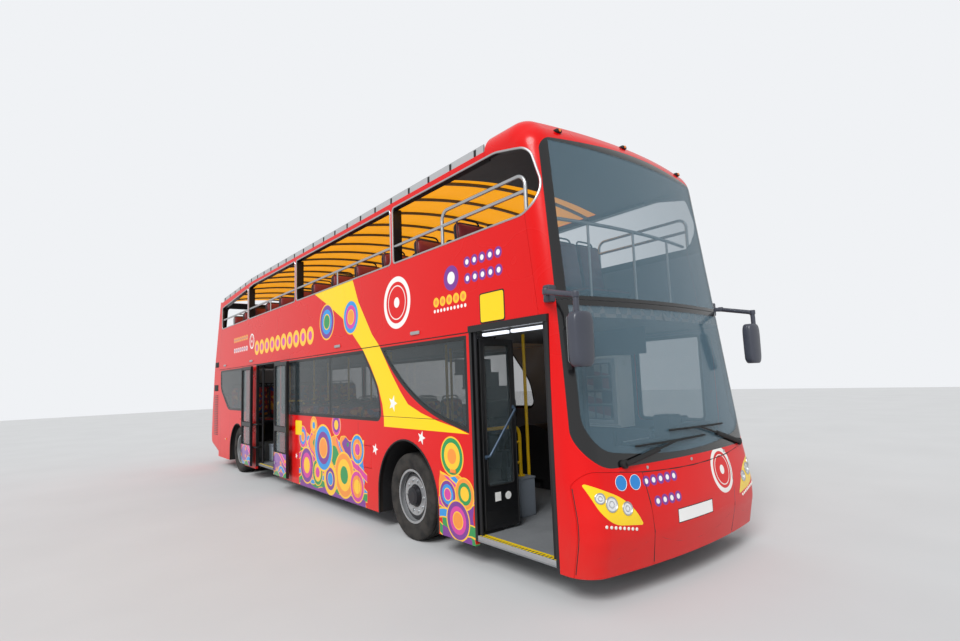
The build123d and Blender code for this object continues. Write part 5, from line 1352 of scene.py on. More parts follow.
class Pad:
    """Crowned pad with sewn channels, swollen by cloth simulation."""

    def __init__(self, name, length, width, thick, channels, columns=14, rows=14):
        self.points = []
        self.faces = grid_quads(columns, rows)
        self.pinned = set()
        channel_rows = {round((place + 1) / 2 * columns) for place in channels}
        for layer in range(2):
            for row in range(rows + 1):
                for column in range(columns + 1):
                    u = -1 + 2 * column / columns
                    v = -1 + 2 * row / rows
                    point = self.start(u, v, length, width, thick, layer)
                    edge = row in (0, rows) or column in (0, columns)
                    channel = column in channel_rows and not edge
                    if layer or channel:
                        self.pinned.add(len(self.points))
                    if channel and not layer:
                        point.z -= thick * 0.16
                    self.points.append(point)
        count = (columns + 1) * (rows + 1)
        self.ring = border = grid_border(columns, rows)
        middle = len(self.points)
        for index in border:
            top, low = self.points[index], self.points[index + count]
            half = (top + low) / 2
            half += Vector((half.x, half.y, 0)).normalized() * thick * 0.10
            self.points.append(half)
        total = len(border)
        for step in range(total):
            after = (step + 1) % total
            here, there = border[step], border[after]
            self.faces.append((here, middle + step, middle + after, there))
            self.faces.append((middle + step, here + count, there + count, middle + after))
        self.swell(name)

    @staticmethod
    def start(u, v, length, width, thick, layer):
        """Point of the unswollen pad: layer 0 is the crowned top, 1 the flat foot."""
        corner = max(0, abs(u) - 0.72) * max(0, abs(v) - 0.72) / 0.0784
        x = length / 2 * (u * (1 - 0.02 * (1 - v**4)) - math.copysign(corner * 0.055, u))
        y = width / 2 * (v * (1 - 0.02 * (1 - u**4)) - math.copysign(corner * 0.055, v))
        if layer:
            return Vector((x * 0.97, y * 0.97, 0))
        crown = (1 - u**4) * (1 - v**4)
        return Vector((x, y, thick * (0.66 + 0.26 * crown)))

    def swell(self, name, cap=0.010):
        """Blows the pad up between its seams."""
        data = bpy.data.meshes.new(name)
        data.from_pydata(self.points, [], self.faces)
        thing = bpy.data.objects.new(name, data)
        bpy.context.scene.collection.objects.link(thing)
        group = thing.vertex_groups.new(name="sewn")
        group.add(sorted(self.pinned), 1.0, "REPLACE")
        cloth = thing.modifiers.new("swell", "CLOTH")
        cloth.settings.vertex_group_mass = "sewn"
        cloth.settings.use_pressure = True
        cloth.settings.uniform_pressure_force = 4
        cloth.settings.effector_weights.gravity = 0
        cloth.settings.quality = 6
        cloth.point_cache.frame_start = 1
        cloth.point_cache.frame_end = 20
        for frame_number in range(1, 21):
            bpy.context.scene.frame_set(frame_number)
        graph = bpy.context.evaluated_depsgraph_get()
        swollen = thing.evaluated_get(graph).to_mesh()
        for index, vert in enumerate(swollen.vertices):
            move = vert.co - self.points[index]
            if move.length > cap:
                move = move.normalized() * cap
            self.points[index] = self.points[index] + move
        bpy.data.objects.remove(thing)
        bpy.data.meshes.remove(data)
        bpy.context.scene.frame_set(1)

    def lay(self, cloth, piping, place):
        """Puts one copy of the pad, and of its piping, at a place."""
        cloth.add([place @ point for point in self.points], self.faces)
        ring = self.ring[::2]
        lift = Vector((0, 0, 0.001))
        piping.tube([place @ (self.points[index] + lift) for index in ring], 0.0042, 5, closed=True)


BACK_LOW = (-0.142, 0.470)
BACK_TOP = (-0.232, 1.098)


def seat_frames(x, floor, y):
    """Placing matrices of the base pad and the back pad of one place."""
    base = Matrix.Translation((x + 0.058, y, floor + 0.410)) @ Matrix.Rotation(math.radians(-1.2), 4, "Y")
    run = Vector((BACK_TOP[0] - BACK_LOW[0], 0, BACK_TOP[1] - BACK_LOW[1])).normalized()
    ahead = Vector((run.z, 0, -run.x))
    rows = Matrix((run, ahead.cross(run), ahead)).transposed()
    middle_x = x + (BACK_LOW[0] + BACK_TOP[0]) / 2
    middle_z = floor + (BACK_LOW[1] + BACK_TOP[1]) / 2
    back = Matrix.Translation((middle_x - 0.028, y, middle_z + 0.004)) @ rows.to_4x4()
    return base, back


def seat_places(rows, inner, outer):
    """(x, floor, middle y) of every place of the double seats."""
    out = []
    for side, x, floor in rows:
        width = (outer - inner) / 2
        for step in range(2):
            out.append((x, floor, side * (inner + width * (step + 0.5))))
    return out


SHELL_FOOT = (-0.170, 0.430)  # x and z of the back board's lower edge
SHELL_RUN = (-0.092, 0.676)
BOARD_LENGTH = 0.682
BOARD_THICK = 0.018


def seat_shell(shape, x, floor, y, width):
    """Moulded shell of one place: tray and back board with a rolled edge."""
    half = width / 2 - 0.005
    tray = [
        (x - 0.205, floor + 0.388), (x + 0.212, floor + 0.388), (x + 0.231, floor + 0.402),
        (x + 0.229, floor + 0.424), (x + 0.215, floor + 0.412), (x - 0.165, floor + 0.410),
        (x - 0.205, floor + 0.440),
    ]
    shape.plate(tray, "Y", y - half, y + half, 0.004)
    top = BOARD_LENGTH
    board = arcs_round([(-half, 0, 0.02), (half, 0, 0.02), (half, top, 0.09), (-half, top, 0.09)], 4)
    points = []
    for depth in (0.0, BOARD_THICK):
        for u, v in board:
            px, pz = (foot + run * v / top for foot, run in zip(SHELL_FOOT, SHELL_RUN))
            points.append((x + px - depth, y + u, floor + pz))
    shape.soften(shape.add(points, prism_faces(len(board))), 0.004)


def seat_handle(shape, x, floor, y, width):
    """Black hoop on the top corner of a seat's back."""
    half = width / 2 - 0.06
    px = x - 0.272
    route = [
        (px + 0.004, y - half, floor + 1.02), (px - 0.012, y - half, floor + 1.15),
        (px - 0.012, y + half, floor + 1.15), (px + 0.004, y + half, floor + 1.02),
    ]
    shape.tube(bent(route, 0.07, 4), 0.0105, 7)


def seat_legs(shape, rows, inner):
    for side, x, floor in rows:
        y = side * (inner + 0.12)
        shape.tube([(x - 0.02, y, floor + 0.002), (x - 0.02, y, floor + 0.392)], 0.028, 14)
        shape.disc((x - 0.02, y, floor), "Z", 0.075, 0.010, 24, 0.003)
        wall = side * (inner + 0.80)
        shape.box((x - 0.19, min(y, wall), floor + 0.366), (x + 0.19, max(y, wall), floor + 0.389), 0.006)


def build_seats():
    """Shells, pads, handles and legs of all the seats."""
    base = Pad("base_pad", 0.345, 0.385, 0.056, (0.36,))
    back = Pad("back_pad", 0.600, 0.385, 0.052, (-0.30, 0.42), columns=16)
    decks = (
        ("upper", upper_rows(), 0.310, 1.140, "upper_seats", "vinyl"),
        ("lower", LOWER_ROWS, 0.330, 1.210, "lower_seats", "seat"),
    )
    for deck, rows, inner, outer, node, cover in decks:
        shells, cloth, piping, handles, legs = Shape(), Shape(), Shape(), Shape(), Shape()
        width = (outer - inner) / 2
        places = seat_places(rows, inner, outer)
        if deck == "lower":
            places.append((4.690, 0.30, 0.78))
            places.extend((-4.930, 0.45, -0.96 + 0.48 * step) for step in range(5))
        for x, floor, y in places:
            seat_shell(shells, x, floor, y, width)
            seat_handle(handles, x, floor, y, width)
            base_place, back_place = seat_frames(x, floor, y)
            base.lay(cloth, piping, base_place)
            back.lay(cloth, piping, back_place)
        seat_legs(legs, rows, inner)
        if deck == "lower":
            legs.tube([(4.66, 0.78, 0.30), (4.66, 0.78, 0.690)], 0.06, 18)
            legs.disc((4.66, 0.78, 0.30), "Z", 0.16, 0.02, 28, 0.005)
            legs.box((-5.14, -1.19, 0.822), (-4.72, 1.19, 0.838), 0.004)
        pads = cloth.piece(f"{deck}_seat_pads", cover, smooth=70)
        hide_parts(node)
        shells.piece(f"{deck}_seat_shells", "seat_shell")
        piping.piece(f"{deck}_seat_piping", "piping", smooth=70)
        handles.piece(f"{deck}_seat_handles", "rubber")
        legs.piece(f"{deck}_seat_legs", "dark_metal")


# Doors


GLIDE_LEAVES = (("rear", 4.476, 1), ("front", 5.394, -1))
LEAF_Y0 = -1.220
LEAF_Y1 = -0.792
LEAF_LOW = 0.330
LEAF_TOP = 2.080
BAR_FOOT = (-1.178, 0.985)  # y, z of the grab bar's ends
BAR_HEAD = (-0.826, 1.420)
RAIL_R = 0.0185


def build_front_door():
    """Grab bars, seals, kick plates and blank labels of the gliding leaves."""
    shape = Shape()
    for place, x, ahead in GLIDE_LEAVES:
        body = f"front_door_leaf_{place}"
        face = x + ahead * 0.018
        stand = face + ahead * 0.045
        bar = [(face, *BAR_FOOT), (stand, -1.165, 1.000), (stand, -0.838, 1.405), (face, *BAR_HEAD)]
        shape.tube(bent(bar, 0.018, 4), 0.012, 10)
        for y, z in (BAR_FOOT, BAR_HEAD):
            shape.disc((face, y, z), "X", 0.021, ahead * 0.006, 18, 0.0015)
        shape.piece(f"{body}_bar", "bar_blue", body)
        for side in BOTH:
            front = x + side * 0.018
            border = rectangle(-1.163, 0.719, -0.849, 2.023, 0.03)
            shape.tube([(front, y, z) for y, z in border], 0.006, 6, closed=True)
            for y in (LEAF_Y0 + 0.012, LEAF_Y1 - 0.012):
                shape.tube([(front, y, LEAF_LOW + 0.02), (front, y, LEAF_TOP - 0.02)], 0.005, 6)
        shape.piece(f"{body}_seals", "rubber", body)
        low, high = sorted((face, face + ahead * 0.0025))
        shape.box((low, -1.195, 0.36), (high, -0.815, 0.50), 0.001)
        for y in (-1.17, -1.0, -0.84):
            for z in (0.385, 0.475):
                shape.disc((face + ahead * 0.002, y, z), "X", 0.007, ahead * 0.002, 10)
        shape.piece(f"{body}_kick_plate", "dark_metal", body, "black_frame")
        low, high = sorted((face, face + ahead * 0.0012))
        shape.box((low, -1.09, 0.575), (high, -1.02, 0.655))
        shape.plate(circle(-0.93, 0.610, 0.036, 24), "X", low, high)
        shape.piece(f"{body}_labels", "print_white", body)


CABINET_DOORS = ((3.955, 4.405), (4.415, 4.865))  # x
CABINET_LOW = 1.185
CABINET_HIGH = 1.870
CABINET_BAR = 0.042


def build_entrance():
    """Light strip, step edge, rail with its box, and the cabinet's doors."""
    shape = Shape()
    for x0, x1 in ((4.93, 5.355), (4.53, 4.87)):
        shape.box((x0, -1.205, 2.098), (x1, -1.160, 2.126), 0.006)
    shape.piece("entrance_light", "led_glow")
    shape.box((4.452, -1.2745, 0.262), (5.418, -1.228, 0.3035), 0.003)
    shape.piece("step_edge", "steel")
    shape.box((4.460, -1.222, 0.2995), (5.410, -1.200, 0.3015))
    for step in range(24):
        x = 4.47 + 0.04 * step
        shape.box((x, -1.2675, 0.3030), (x + 0.020, -1.234, 0.3050), 0.0008)
    shape.piece("step_marking", "print_yellow")
    shape.box((4.09, -0.58, FLOOR_Z), (4.29, -0.38, 0.672), 0.012)
    shape.box((4.085, -0.585, 0.668), (4.295, -0.375, 0.690), 0.006)
    shape.piece("entrance_box", "pale_box")
    rail = [(4.19, -1.215, 1.20), (4.19, -0.48, 1.20), (4.19, -0.48, 0.685)]
    shape.tube(bent(rail, 0.11, 7), RAIL_R, 14)
    shape.disc((4.19, -0.48, 0.688), "Z", 0.042, 0.018, 24, 0.003)
    for z in (1.04, 0.83):
        shape.tube([(4.19, -0.48, z), (4.19, -0.525, z)], 0.013, 10)
        shape.disc((4.19, -0.525, z), "Y", 0.019, -0.018, 16, 0.003)
    shape.piece("entrance_rail", "yellow")
    build_cabinet()


def build_cabinet():
    """Frames, panes, handles, shelves and blank leaflets of the cab's cabinet."""
    shape = Shape()
    low, high, bar = CABINET_LOW, CABINET_HIGH, CABINET_BAR
    for x0, x1 in CABINET_DOORS:
        inner0, inner1 = x0 + bar + 0.0005, x1 - bar - 0.0005
        for lx, lz, hx, hz in (
            (x0, low, x0 + bar, high), (x1 - bar, low, x1, high),
            (inner0, low, inner1, low + bar), (inner0, high - bar, inner1, high),
        ):
            shape.box((lx, 0.283, lz), (hx, 0.301, hz), 0.003)
    shape.box((3.885, 0.288, 1.156), (4.895, 0.3005, 1.178), 0.003)
    shape.piece("cabinet_frames", "cabinet_grey")
    for x0, x1 in CABINET_DOORS:
        shape.box((x0 + 0.04, 0.2865, low + 0.04), (x1 - 0.04, 0.2895, high - 0.04))
    shape.piece("cabinet_panes", "door_glass")
    for x0, x1 in CABINET_DOORS:
        shape.box((x0 + bar, 0.2985, low + bar), (x1 - bar, 0.3005, high - bar))
    shape.piece("cabinet_insides", "grey")
    for x in (4.395, 4.425):
        handle = [(x, y, z) for y, z in ((0.283, 1.40), (0.258, 1.40), (0.258, 1.56), (0.283, 1.56))]
        shape.tube(bent(handle, 0.015, 3), 0.006, 8)
    shape.box((4.79, 0.292, 0.955), (4.835, 0.3005, 1.105), 0.006)
    shape.piece("cabinet_handles", "rubber")
    cards = Shape()
    for row in range(4):
        z = 1.24 + 0.15 * row
        shape.box((4.47, 0.2915, z - 0.008), (4.81, 0.2985, z + 0.006), 0.001)
        for column in range(3):
            x = 4.485 + 0.105 * column
            if (row + column) % 4 != 3:
                cards.box((x, 0.2935, z + 0.006), (x + 0.085, 0.2975, z + 0.125), 0.001)
    shape.piece("leaflet_shelves", "steel")
    cards.piece("blank_leaflets", "leaflet")


SWING_LEAVES = (("rear", -2.896, -2.266), ("front", -0.934, -0.304))
SWING_FACE = -1.375


def build_middle_door():
    """Films, seals and locks of the middle door, with the rail and the bin inside."""
    shape = Shape()
    for place, x0, x1 in SWING_LEAVES:
        body = f"mid_door_leaf_{place}"
        shape.box((x0 + 0.008, SWING_FACE - 0.0012, 0.268), (x1 - 0.008, SWING_FACE + 0.0005, 0.632), 0.0004)
        shape.piece(f"{body}_film", "door_print", body)
        for low, high in ((1.060, 2.052), (0.640, 0.980)):
            border = rectangle(x0 + 0.052, low, x1 - 0.052, high, 0.03)
            shape.tube([(x, SWING_FACE, z) for x, z in border], 0.005, 6, closed=True)
        for x in (x0 + 0.010, x1 - 0.010):
            shape.tube([(x, SWING_FACE, 0.28), (x, SWING_FACE, 2.09)], 0.005, 6)
        shape.piece(f"{body}_seals", "rubber", body)
        middle = x1 - 0.075 if place == "rear" else x0 + 0.075
        shape.disc((middle, SWING_FACE, 0.46), "Y", 0.026, -0.010, 20, 0.003)
        shape.disc((middle, SWING_FACE - 0.010, 0.46), "Y", 0.012, -0.005, 14, 0.001)
        shape.piece(f"{body}_lock", "steel", body)
    hoop = [(-2.31, y, z) for y, z in ((-0.88, 0.62), (-0.88, 1.42), (-0.34, 1.42), (-0.34, 0.302))]
    shape.tube(bent(hoop, 0.11, 7), RAIL_R, 14)
    for z in (0.80, 1.20):
        shape.tube([(-2.31, -0.88, z), (-2.285, -0.88, z)], 0.012, 8)
        shape.disc((-2.29, -0.88, z), "X", 0.020, 0.016, 16, 0.003)
    shape.disc((-2.31, -0.34, FLOOR_Z), "Z", 0.045, 0.012, 24, 0.003)
    shape.piece("exit_rail", "yellow")
    shape.box((-2.42, -0.99, 0.302), (-2.21, -0.78, 0.600), 0.025, 3)
    shape.box((-2.428, -0.998, 0.585), (-2.202, -0.772, 0.625), 0.014, 3)
    shape.piece("litter_bin", "pale_box")
    shape.box((-2.21, -1.2255, 0.2995), (-0.99, -1.195, 0.3025), 0.001)
    shape.piece("exit_step_edge", "print_yellow")


# Insides


DIALS = ((0.665, 0.050), (0.785, 0.062), (0.905, 0.050))  # y, radius
DIAL_Z = 1.135


def build_cab():
    """Instrument hood, console trim, ticket box and dials."""
    shape = Shape()
    hood = [(5.335, 1.062), (5.335, 1.105), (5.40, 1.185), (5.47, 1.190), (5.56, 1.100), (5.56, 1.062)]
    shape.plate(hood, "Y", 0.545, 1.015, 0.012)
    shape.box((5.34, -0.30, 1.055), (5.62, 0.50, 1.085), 0.012)
    shape.box((5.35, 0.20, 1.08), (5.52, 0.42, 1.30), 0.015)
    shape.piece("instrument_hood", "rubber")
    for y, radius in DIALS:
        shape.disc((5.352, y, DIAL_Z), "X", radius * 0.62, -0.008, 24, 0.001)
    shape.box((5.343, 0.22, 1.14), (5.351, 0.40, 1.28), 0.003)
    shape.piece("instrument_dials", "gloss_black")
    for y, _ in DIALS:
        shape.tube([(5.347, u, v) for u, v in circle(y, DIAL_Z, 0.036, 20)], 0.0022, 6, closed=True)
    for step in range(8):
        y = -0.26 + step * 0.05
        shape.box((5.336, y, 1.086), (5.356, y + 0.028, 1.094), 0.002)
    shape.piece("dial_rims", "steel")


CEILING_REAR = 4.08
CEILING_DROP = 0.052


def build_ceiling():
    """Dark ceiling panel over the front seats, under the canopy's front and the hood."""
    columns, rows = 8, 20
    shape = Shape()
    points = []
    for lift in (-CEILING_DROP, 0.008 - CEILING_DROP):
        for column in range(columns + 1):
            for row in range(rows + 1):
                spot = canopy_point(BOW_FIRST, -0.985 + 1.97 * row / rows, lift)
                front = min(5.34, NOSE.at(spot.y, 3.70).x - 0.06)
                points.append((CEILING_REAR + (front - CEILING_REAR) * column / columns, spot.y, spot.z))
    shape.add(points, slab_faces(rows, columns))
    shape.piece("front_ceiling", "seat_shell")


GUARD_Z = 3.06
GUARD_GAP = 0.17


def build_upper_front():
    """Ceiling over the front seats and the guard bar behind the upper windscreen."""
    build_ceiling()
    shape = Shape()
    bar = []
    for step in range(15):
        y = -1.02 + 2.04 * step / 14
        bar.append((NOSE.at(y, GUARD_Z).x - GUARD_GAP, y, GUARD_Z))
    shape.tube(bar, 0.0165, 10)
    for y in (-0.62, 0.0, 0.62):
        x = NOSE.at(y, GUARD_Z).x - GUARD_GAP
        shape.tube([(x, y, DECK_Z), (x, y, GUARD_Z)], 0.012, 10)
        shape.disc((x, y, DECK_Z), "Z", 0.035, 0.008, 20, 0.002)
    shape.piece("front_guard_bar", "steel")


MIRROR_MIDDLE = (5.838, -1.323, 1.965)
MIRROR_HALF = (0.058, 0.106, 0.205)
MIRROR_ARM = ((5.465, -1.270, 2.36), (5.52, -1.345, 2.36), (5.845, -1.37, 2.29), (5.845, -1.37, 2.13))


def build_mirrors():
    """Moulded mirror heads on their arms and brackets."""
    shape = Shape()
    rings = []
    steps, sides = 18, 28
    for step in range(1, steps):
        rise = -math.cos(math.pi * step / steps)
        shrink = (1 - abs(rise) ** 5) ** 0.2
        ring = []
        for turn in range(sides):
            angle = 2 * math.pi * turn / sides
            u = math.copysign(abs(math.cos(angle)) ** 0.45, math.cos(angle))
            v = math.copysign(abs(math.sin(angle)) ** 0.45, math.sin(angle))
            belly = 1.0 - 0.25 * v * v if u > 0 else 1.0
            spot = (
                MIRROR_MIDDLE[0] + MIRROR_HALF[0] * u * belly * (0.3 + 0.7 * shrink),
                MIRROR_MIDDLE[1] + MIRROR_HALF[1] * v * shrink * (1 + 0.04 * rise),
                MIRROR_MIDDLE[2] + MIRROR_HALF[2] * rise,
            )
            ring.append(Vector((spot[0], max(spot[1], -1.4295), spot[2])))
        rings.append(ring)
    points = [point for ring in rings for point in ring]
    faces = [tuple(range(sides)), tuple(range(len(points) - 1, len(points) - 1 - sides, -1))]
    for row in range(len(rings) - 1):
        for turn in range(sides):
            after = (turn + 1) % sides
            base = row * sides
            faces.append((base + turn, base + sides + turn, base + sides + after, base + after))
    shape.add(points, faces)
    shape.tube(bent(MIRROR_ARM, 0.05, 6), 0.0225, 12)
    for spot in (MIRROR_ARM[1], MIRROR_ARM[2]):
        shape.disc((spot[0], spot[1], spot[2] - 0.021), "Z", 0.028, 0.046, 18, 0.006)
    shape.box((5.430, -1.290, 2.290), (5.500, -1.19, 2.430), 0.012, 3)
    for x in (5.444, 5.486):
        for z in (2.310, 2.410):
            shape.disc((x, -1.289, z), "Y", 0.007, -0.004, 8)
    shape.mirrored()
    heads = shape.piece("mirror_heads", "housing", smooth=40)
    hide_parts("mirrors")


ROOF_LAMP_Z = 3.974


def build_outside():
    """Mirror glass, roof lamps, canopy end plates and the hood's edge trim."""
    shape = Shape()
    shape.plate(rectangle(1.258, 1.79, 1.412, 2.14, 0.028), "X", 5.7785, 5.782, 0.0008)
    shape.mirrored()
    shape.piece("mirror_panes", "mirror")
    spots = []
    for y in (-0.934, 0.0, 0.934):
        x = 5.36
        while ROOF.at(x, y).z > ROOF_LAMP_Z:
            x += 0.01
        spots.append(ROOF.at(x, y))
    for x, y, z in spots:
        shape.box((x - 0.055, y - 0.034, z - 0.012), (x + 0.030, y + 0.034, z + 0.022), 0.012, 3)
    shape.piece("roof_lamp_bodies", "rubber")
    for x, y, z in spots:
        shape.disc((x + 0.028, y, z + 0.006), "X", 0.0145, 0.007, 18, 0.003)
    shape.piece("roof_lamp_lenses", "amber")
    outline = [(4.70, 3.862), (4.905, 3.862), (4.93, 3.905), (4.80, 3.952), (4.70, 3.930)]
    shape.plate(outline, "Y", 0.985, 1.165, 0.008)
    shape.mirrored()
    shape.piece("canopy_end_plates", "pale_grey")
    for side in BOTH:
        points = []
        for step in range(9):
            y = side * (0.15 + 1.03 * step / 8)
            spot = ROOF.at(4.765, y)
            points.append((spot.x, y, spot.z - 0.0095))
        shape.tube(points, 0.009, 6)
    shape.piece("hood_edge_trim", "rubber")


HANDLE_Z = 1.655
COLUMN_LAMPS = (0.82, 0.95, 1.08, 1.21, 1.34, 1.46)  # z
COLUMN_Y = 1.005


def build_tail():
    """Lamp rings and lenses, plate, handle, vents and grilles of the tail."""
    shape, glow, amber = Shape(), Shape(), Shape()
    for index, z in enumerate(COLUMN_LAMPS):
        for side in BOTH:
            places = circle(side * COLUMN_Y, z, 0.046, 24)
            middle = TAIL.at(side * COLUMN_Y, z) - Vector((0.005, 0, 0))
            points = [TAIL.at(u, v, 0.001) for u, v in places] + [middle]
            lens = amber if index in (2, 5) else glow
            lens.add(points, [(step, (step + 1) % 24, 24) for step in range(24)])
            line_on(TAIL, shape, places, 0.005, -0.001, 6, closed=True)
    shape.piece("tail_lamp_rings", "steel", slot="rim_steel")
    glow.piece("tail_red_lenses", "red_lens")
    amber.piece("tail_amber_lenses", "amber")
    patch_on(TAIL, shape, (-0.26, 0.425), (0.26, 0.535), 0.003, 10)
    shape.piece("rear_plate", "print_white")
    foot = TAIL.at(0.0, HANDLE_Z).x
    stand = foot - 0.022
    grip = [(x, y, HANDLE_Z) for x, y in ((foot, -0.09), (stand, -0.09), (stand, 0.09), (foot, 0.09))]
    shape.tube(bent(grip, 0.015, 3), 0.008, 8)
    shape.piece("hatch_handle", "rubber", "engine_hatch")
    low, high = HALF_WIDTH - 0.004, HALF_WIDTH + 0.003
    shape.box((-5.50, low, 2.205), (-5.18, high, 2.325), 0.003)
    shape.box((-5.56, low, 1.66), (-5.20, high, 1.80), 0.003)
    for step in range(5):
        z = 2.222 + 0.020 * step
        shape.box((-5.485, low - 0.002, z), (-5.195, high + 0.002, z + 0.008), 0.001)
    shape.mirrored()
    shape.piece("side_vents", "rubber")
    for step in range(23):
        z = 0.66 + 0.040 * step
        shape.box((-5.54, low, z), (-5.20, high + 0.001, z + 0.022), 0.003)
    shape.mirrored()
    shape.piece("side_grilles", "coach_shadow")


# Stage


CAMERA_PLACE = (8.465, -4.362, 1.695)
CAMERA_YAW = 141.41
CAMERA_PITCH = 6.26
CAMERA_ROLL = -2.12
LENS_MM = 20.30
SENSOR_MM = 36.0
ROOM_GREY = srgb(222, 223, 224)
BACKDROP = srgb(240, 242, 245)


def place_camera():
    """Camera at the photograph's angle."""
    yaw, pitch, roll = (math.radians(value) for value in (CAMERA_YAW, CAMERA_PITCH, CAMERA_ROLL))
    ahead = Vector((math.cos(yaw) * math.cos(pitch), math.sin(yaw) * math.cos(pitch), math.sin(pitch)))
    level = Vector((math.sin(yaw), -math.cos(yaw), 0))
    upward = level.cross(ahead)
    right = level * math.cos(roll) + upward * math.sin(roll)
    up = upward * math.cos(roll) - level * math.sin(roll)
    lens = bpy.data.cameras.new("photo_camera")
    lens.lens = LENS_MM
    lens.sensor_width = SENSOR_MM
    lens.sensor_fit = "HORIZONTAL"
    lens.clip_end = 300
    camera = bpy.data.objects.new("photo_camera", lens)
    turned = Matrix((right, up, -ahead)).transposed().to_4x4()
    camera.matrix_world = Matrix.Translation(CAMERA_PLACE) @ turned
    bpy.context.scene.collection.objects.link(camera)
    bpy.context.scene.camera = camera


def light_world(power):
    """Even light from all round, and a paler backdrop for the camera alone."""
    world = bpy.data.worlds.new("pale_room")
    world.use_nodes = True
    tree = world.node_tree
    tree.nodes.clear()
    output = tree.nodes.new("ShaderNodeOutputWorld")
    mixer = tree.nodes.new("ShaderNodeMixShader")
    path = tree.nodes.new("ShaderNodeLightPath")
    tree.links.new(path.outputs["Is Camera Ray"], mixer.inputs[0])
    for index, colour, strength in ((1, ROOM_GREY, power), (2, BACKDROP, 1.0)):
        light = tree.nodes.new("ShaderNodeBackground")
        light.inputs[0].default_value = (*colour, 1)
        light.inputs[1].default_value = strength
        tree.links.new(light.outputs[0], mixer.inputs[index])
    tree.links.new(mixer.outputs[0], output.inputs[0])
    bpy.context.scene.world = world


# Settings and operators


class BusPaintSettings(bpy.types.PropertyGroup):
    """Colours of the bus."""

    red: bpy.props.FloatVectorProperty(
        name="Coach red", description="Main colour of the coachwork", subtype="COLOR", size=3, min=0, max=1,
        default=RED,
    )
    yellow: bpy.props.FloatVectorProperty(
        name="Band yellow", description="Colour of the band across the side", subtype="COLOR", size=3, min=0,
        max=1, default=YELLOW,
    )
    canopy: bpy.props.FloatVectorProperty(
        name="Canopy", description="Colour of the canopy cloth", subtype="COLOR", size=3, min=0, max=1,
        default=CANOPY_YELLOW,
    )


class BusStageSettings(bpy.types.PropertyGroup):
    """Floor and light round the bus."""

    floor_size: bpy.props.FloatProperty(
        name="Floor size", description="Width of the floor", default=90.0, min=30.0, unit="LENGTH"
    )
    sun_power: bpy.props.FloatProperty(
        name="Sun", description="Strength of the soft sun", default=2.3, min=0.0
    )
    sky_power: bpy.props.FloatProperty(
        name="Sky", description="Strength of the even light", default=0.9, min=0.0
    )


class BUS_OT_finishes(bpy.types.Operator):
    """Make the finishes and give them to the frame"""

    bl_idname = "bus.finishes"
    bl_label = "Finishes"

    def execute(self, context):
        make_finishes(context.scene.bus_paint)
        dress_frame()
        return {"FINISHED"}


class BUS_OT_wheels(bpy.types.Operator):
    """Dress the wheels"""

    bl_idname = "bus.wheels"
    bl_label = "Wheels"

    def execute(self, context):
        build_wheels()
        return {"FINISHED"}


class BUS_OT_nose(bpy.types.Operator):
    """Add the lamps, wipers and plate of the nose"""

    bl_idname = "bus.nose"
    bl_label = "Nose"

    def execute(self, context):
        build_nose()
        return {"FINISHED"}


class BUS_OT_side_trim(bpy.types.Operator):
    """Add the trim of the sides"""

    bl_idname = "bus.side_trim"
    bl_label = "Side trim"

    def execute(self, context):
        build_side_trim()
        return {"FINISHED"}


class BUS_OT_upper_edges(bpy.types.Operator):
    """Add the beads of the upper openings and the canopy's side tracks"""

    bl_idname = "bus.upper_edges"
    bl_label = "Upper edges"

    def execute(self, context):
        build_upper_edges()
        return {"FINISHED"}


class BUS_OT_canopy(bpy.types.Operator):
    """Stretch the canopy over its bows"""

    bl_idname = "bus.canopy"
    bl_label = "Canopy"

    def execute(self, context):
        build_canopy()
        return {"FINISHED"}


class BUS_OT_seats(bpy.types.Operator):
    """Upholster the seats of both decks"""

    bl_idname = "bus.seats"
    bl_label = "Seats"

    def execute(self, context):
        build_seats()
        return {"FINISHED"}


class BUS_OT_front_door(bpy.types.Operator):
    """Dress the front door and the entrance"""

    bl_idname = "bus.front_door"
    bl_label = "Front door"

    def execute(self, context):
        build_front_door()
        build_entrance()
        return {"FINISHED"}


class BUS_OT_middle_door(bpy.types.Operator):
    """Dress the middle door"""

    bl_idname = "bus.middle_door"
    bl_label = "Middle door"

    def execute(self, context):
        build_middle_door()
        return {"FINISHED"}


class BUS_OT_cab(bpy.types.Operator):
    """Add the cab's instruments, the front ceiling and the upper guard bar"""

    bl_idname = "bus.cab"
    bl_label = "Cab and upper front"

    def execute(self, context):
        build_cab()
        build_upper_front()
        return {"FINISHED"}


class BUS_OT_outside(bpy.types.Operator):
    """Add the mirrors, the roof lamps and the tail's lamps"""

    bl_idname = "bus.outside"
    bl_label = "Mirrors, roof and tail"

    def execute(self, context):
        build_mirrors()
        build_outside()
        build_tail()
        return {"FINISHED"}


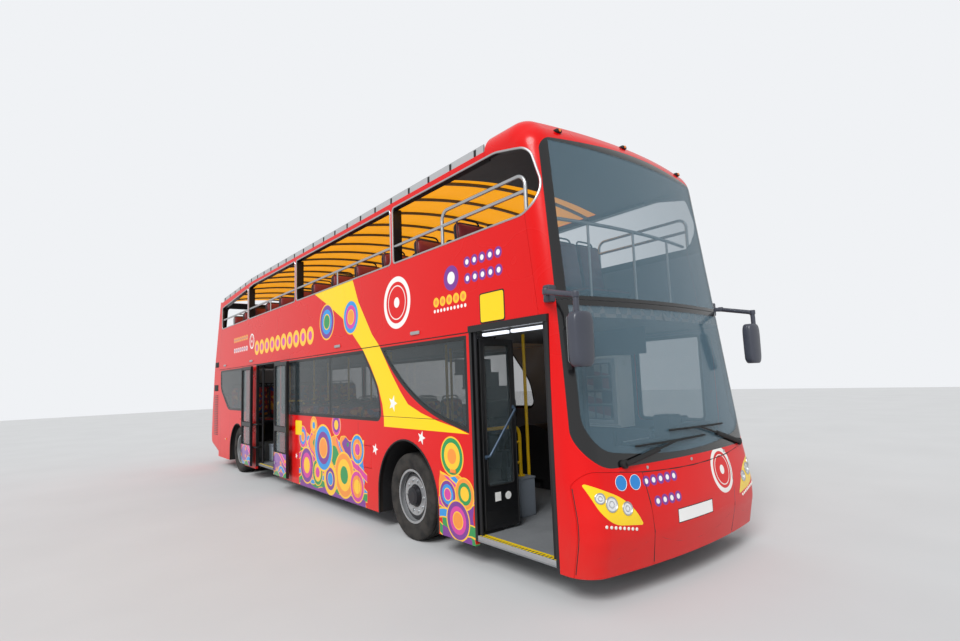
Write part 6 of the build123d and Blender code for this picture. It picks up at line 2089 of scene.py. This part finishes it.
class BUS_OT_stage(bpy.types.Operator):
    """Add the floor, the lights and the camera"""

    bl_idname = "bus.stage"
    bl_label = "Stage"

    def execute(self, context):
        scene = context.scene
        settings = scene.bus_stage
        half = settings.floor_size / 2
        data = bpy.data.meshes.new("floor")
        corners = [(x, y, 0) for x, y in rectangle(-half, -half, half, half)]
        data.from_pydata(corners, [], [(0, 1, 2, 3)])
        floor = bpy.data.objects.new("floor", data)
        finish = Finish("stage_floor", Roughness=0.85, Specular_IOR_Level=0.2)
        point = finish.place()[0]
        finish.set(Base_Color=finish.mix(finish.noise(point, 0.6), srgb(196, 197, 198), srgb(206, 207, 208)))
        data.materials.append(finish.material)
        scene.collection.objects.link(floor)
        sun_data = bpy.data.lights.new("soft_sun", "SUN")
        sun_data.energy = settings.sun_power
        sun_data.angle = math.radians(25)
        sun = bpy.data.objects.new("soft_sun", sun_data)
        sun.rotation_euler = (math.radians(48), 0, math.radians(28))
        scene.collection.objects.link(sun)
        light_world(settings.sky_power)
        scene.view_settings.view_transform = "Standard"
        place_camera()
        return {"FINISHED"}


OPERATORS = (
    BUS_OT_finishes,
    BUS_OT_wheels,
    BUS_OT_nose,
    BUS_OT_side_trim,
    BUS_OT_upper_edges,
    BUS_OT_canopy,
    BUS_OT_seats,
    BUS_OT_front_door,
    BUS_OT_middle_door,
    BUS_OT_cab,
    BUS_OT_outside,
    BUS_OT_stage,
)


class VIEW3D_PT_bus(bpy.types.Panel):
    """Lists the steps that dress the bus"""

    bl_label = "Bus"
    bl_idname = "VIEW3D_PT_bus"
    bl_space_type = "VIEW_3D"
    bl_region_type = "UI"
    bl_category = "Bus"

    def draw(self, context):
        column = self.layout.column()
        for group in (context.scene.bus_paint, context.scene.bus_stage):
            for name in group.__annotations__:
                column.prop(group, name)
        for operator in OPERATORS:
            column.operator(operator.bl_idname)


CLASSES = (BusPaintSettings, BusStageSettings, *OPERATORS, VIEW3D_PT_bus)


def register():
    for item in CLASSES:
        bpy.utils.register_class(item)
    bpy.types.Scene.bus_paint = bpy.props.PointerProperty(type=BusPaintSettings)
    bpy.types.Scene.bus_stage = bpy.props.PointerProperty(type=BusStageSettings)


def unregister():
    del bpy.types.Scene.bus_stage
    del bpy.types.Scene.bus_paint
    for item in reversed(CLASSES):
        bpy.utils.unregister_class(item)


def main():
    """Registers the classes and runs the steps in order."""
    register()
    for operator in OPERATORS:
        group, name = operator.bl_idname.split(".")
        getattr(getattr(bpy.ops, group), name)()


if __name__ == "__main__":
    main()
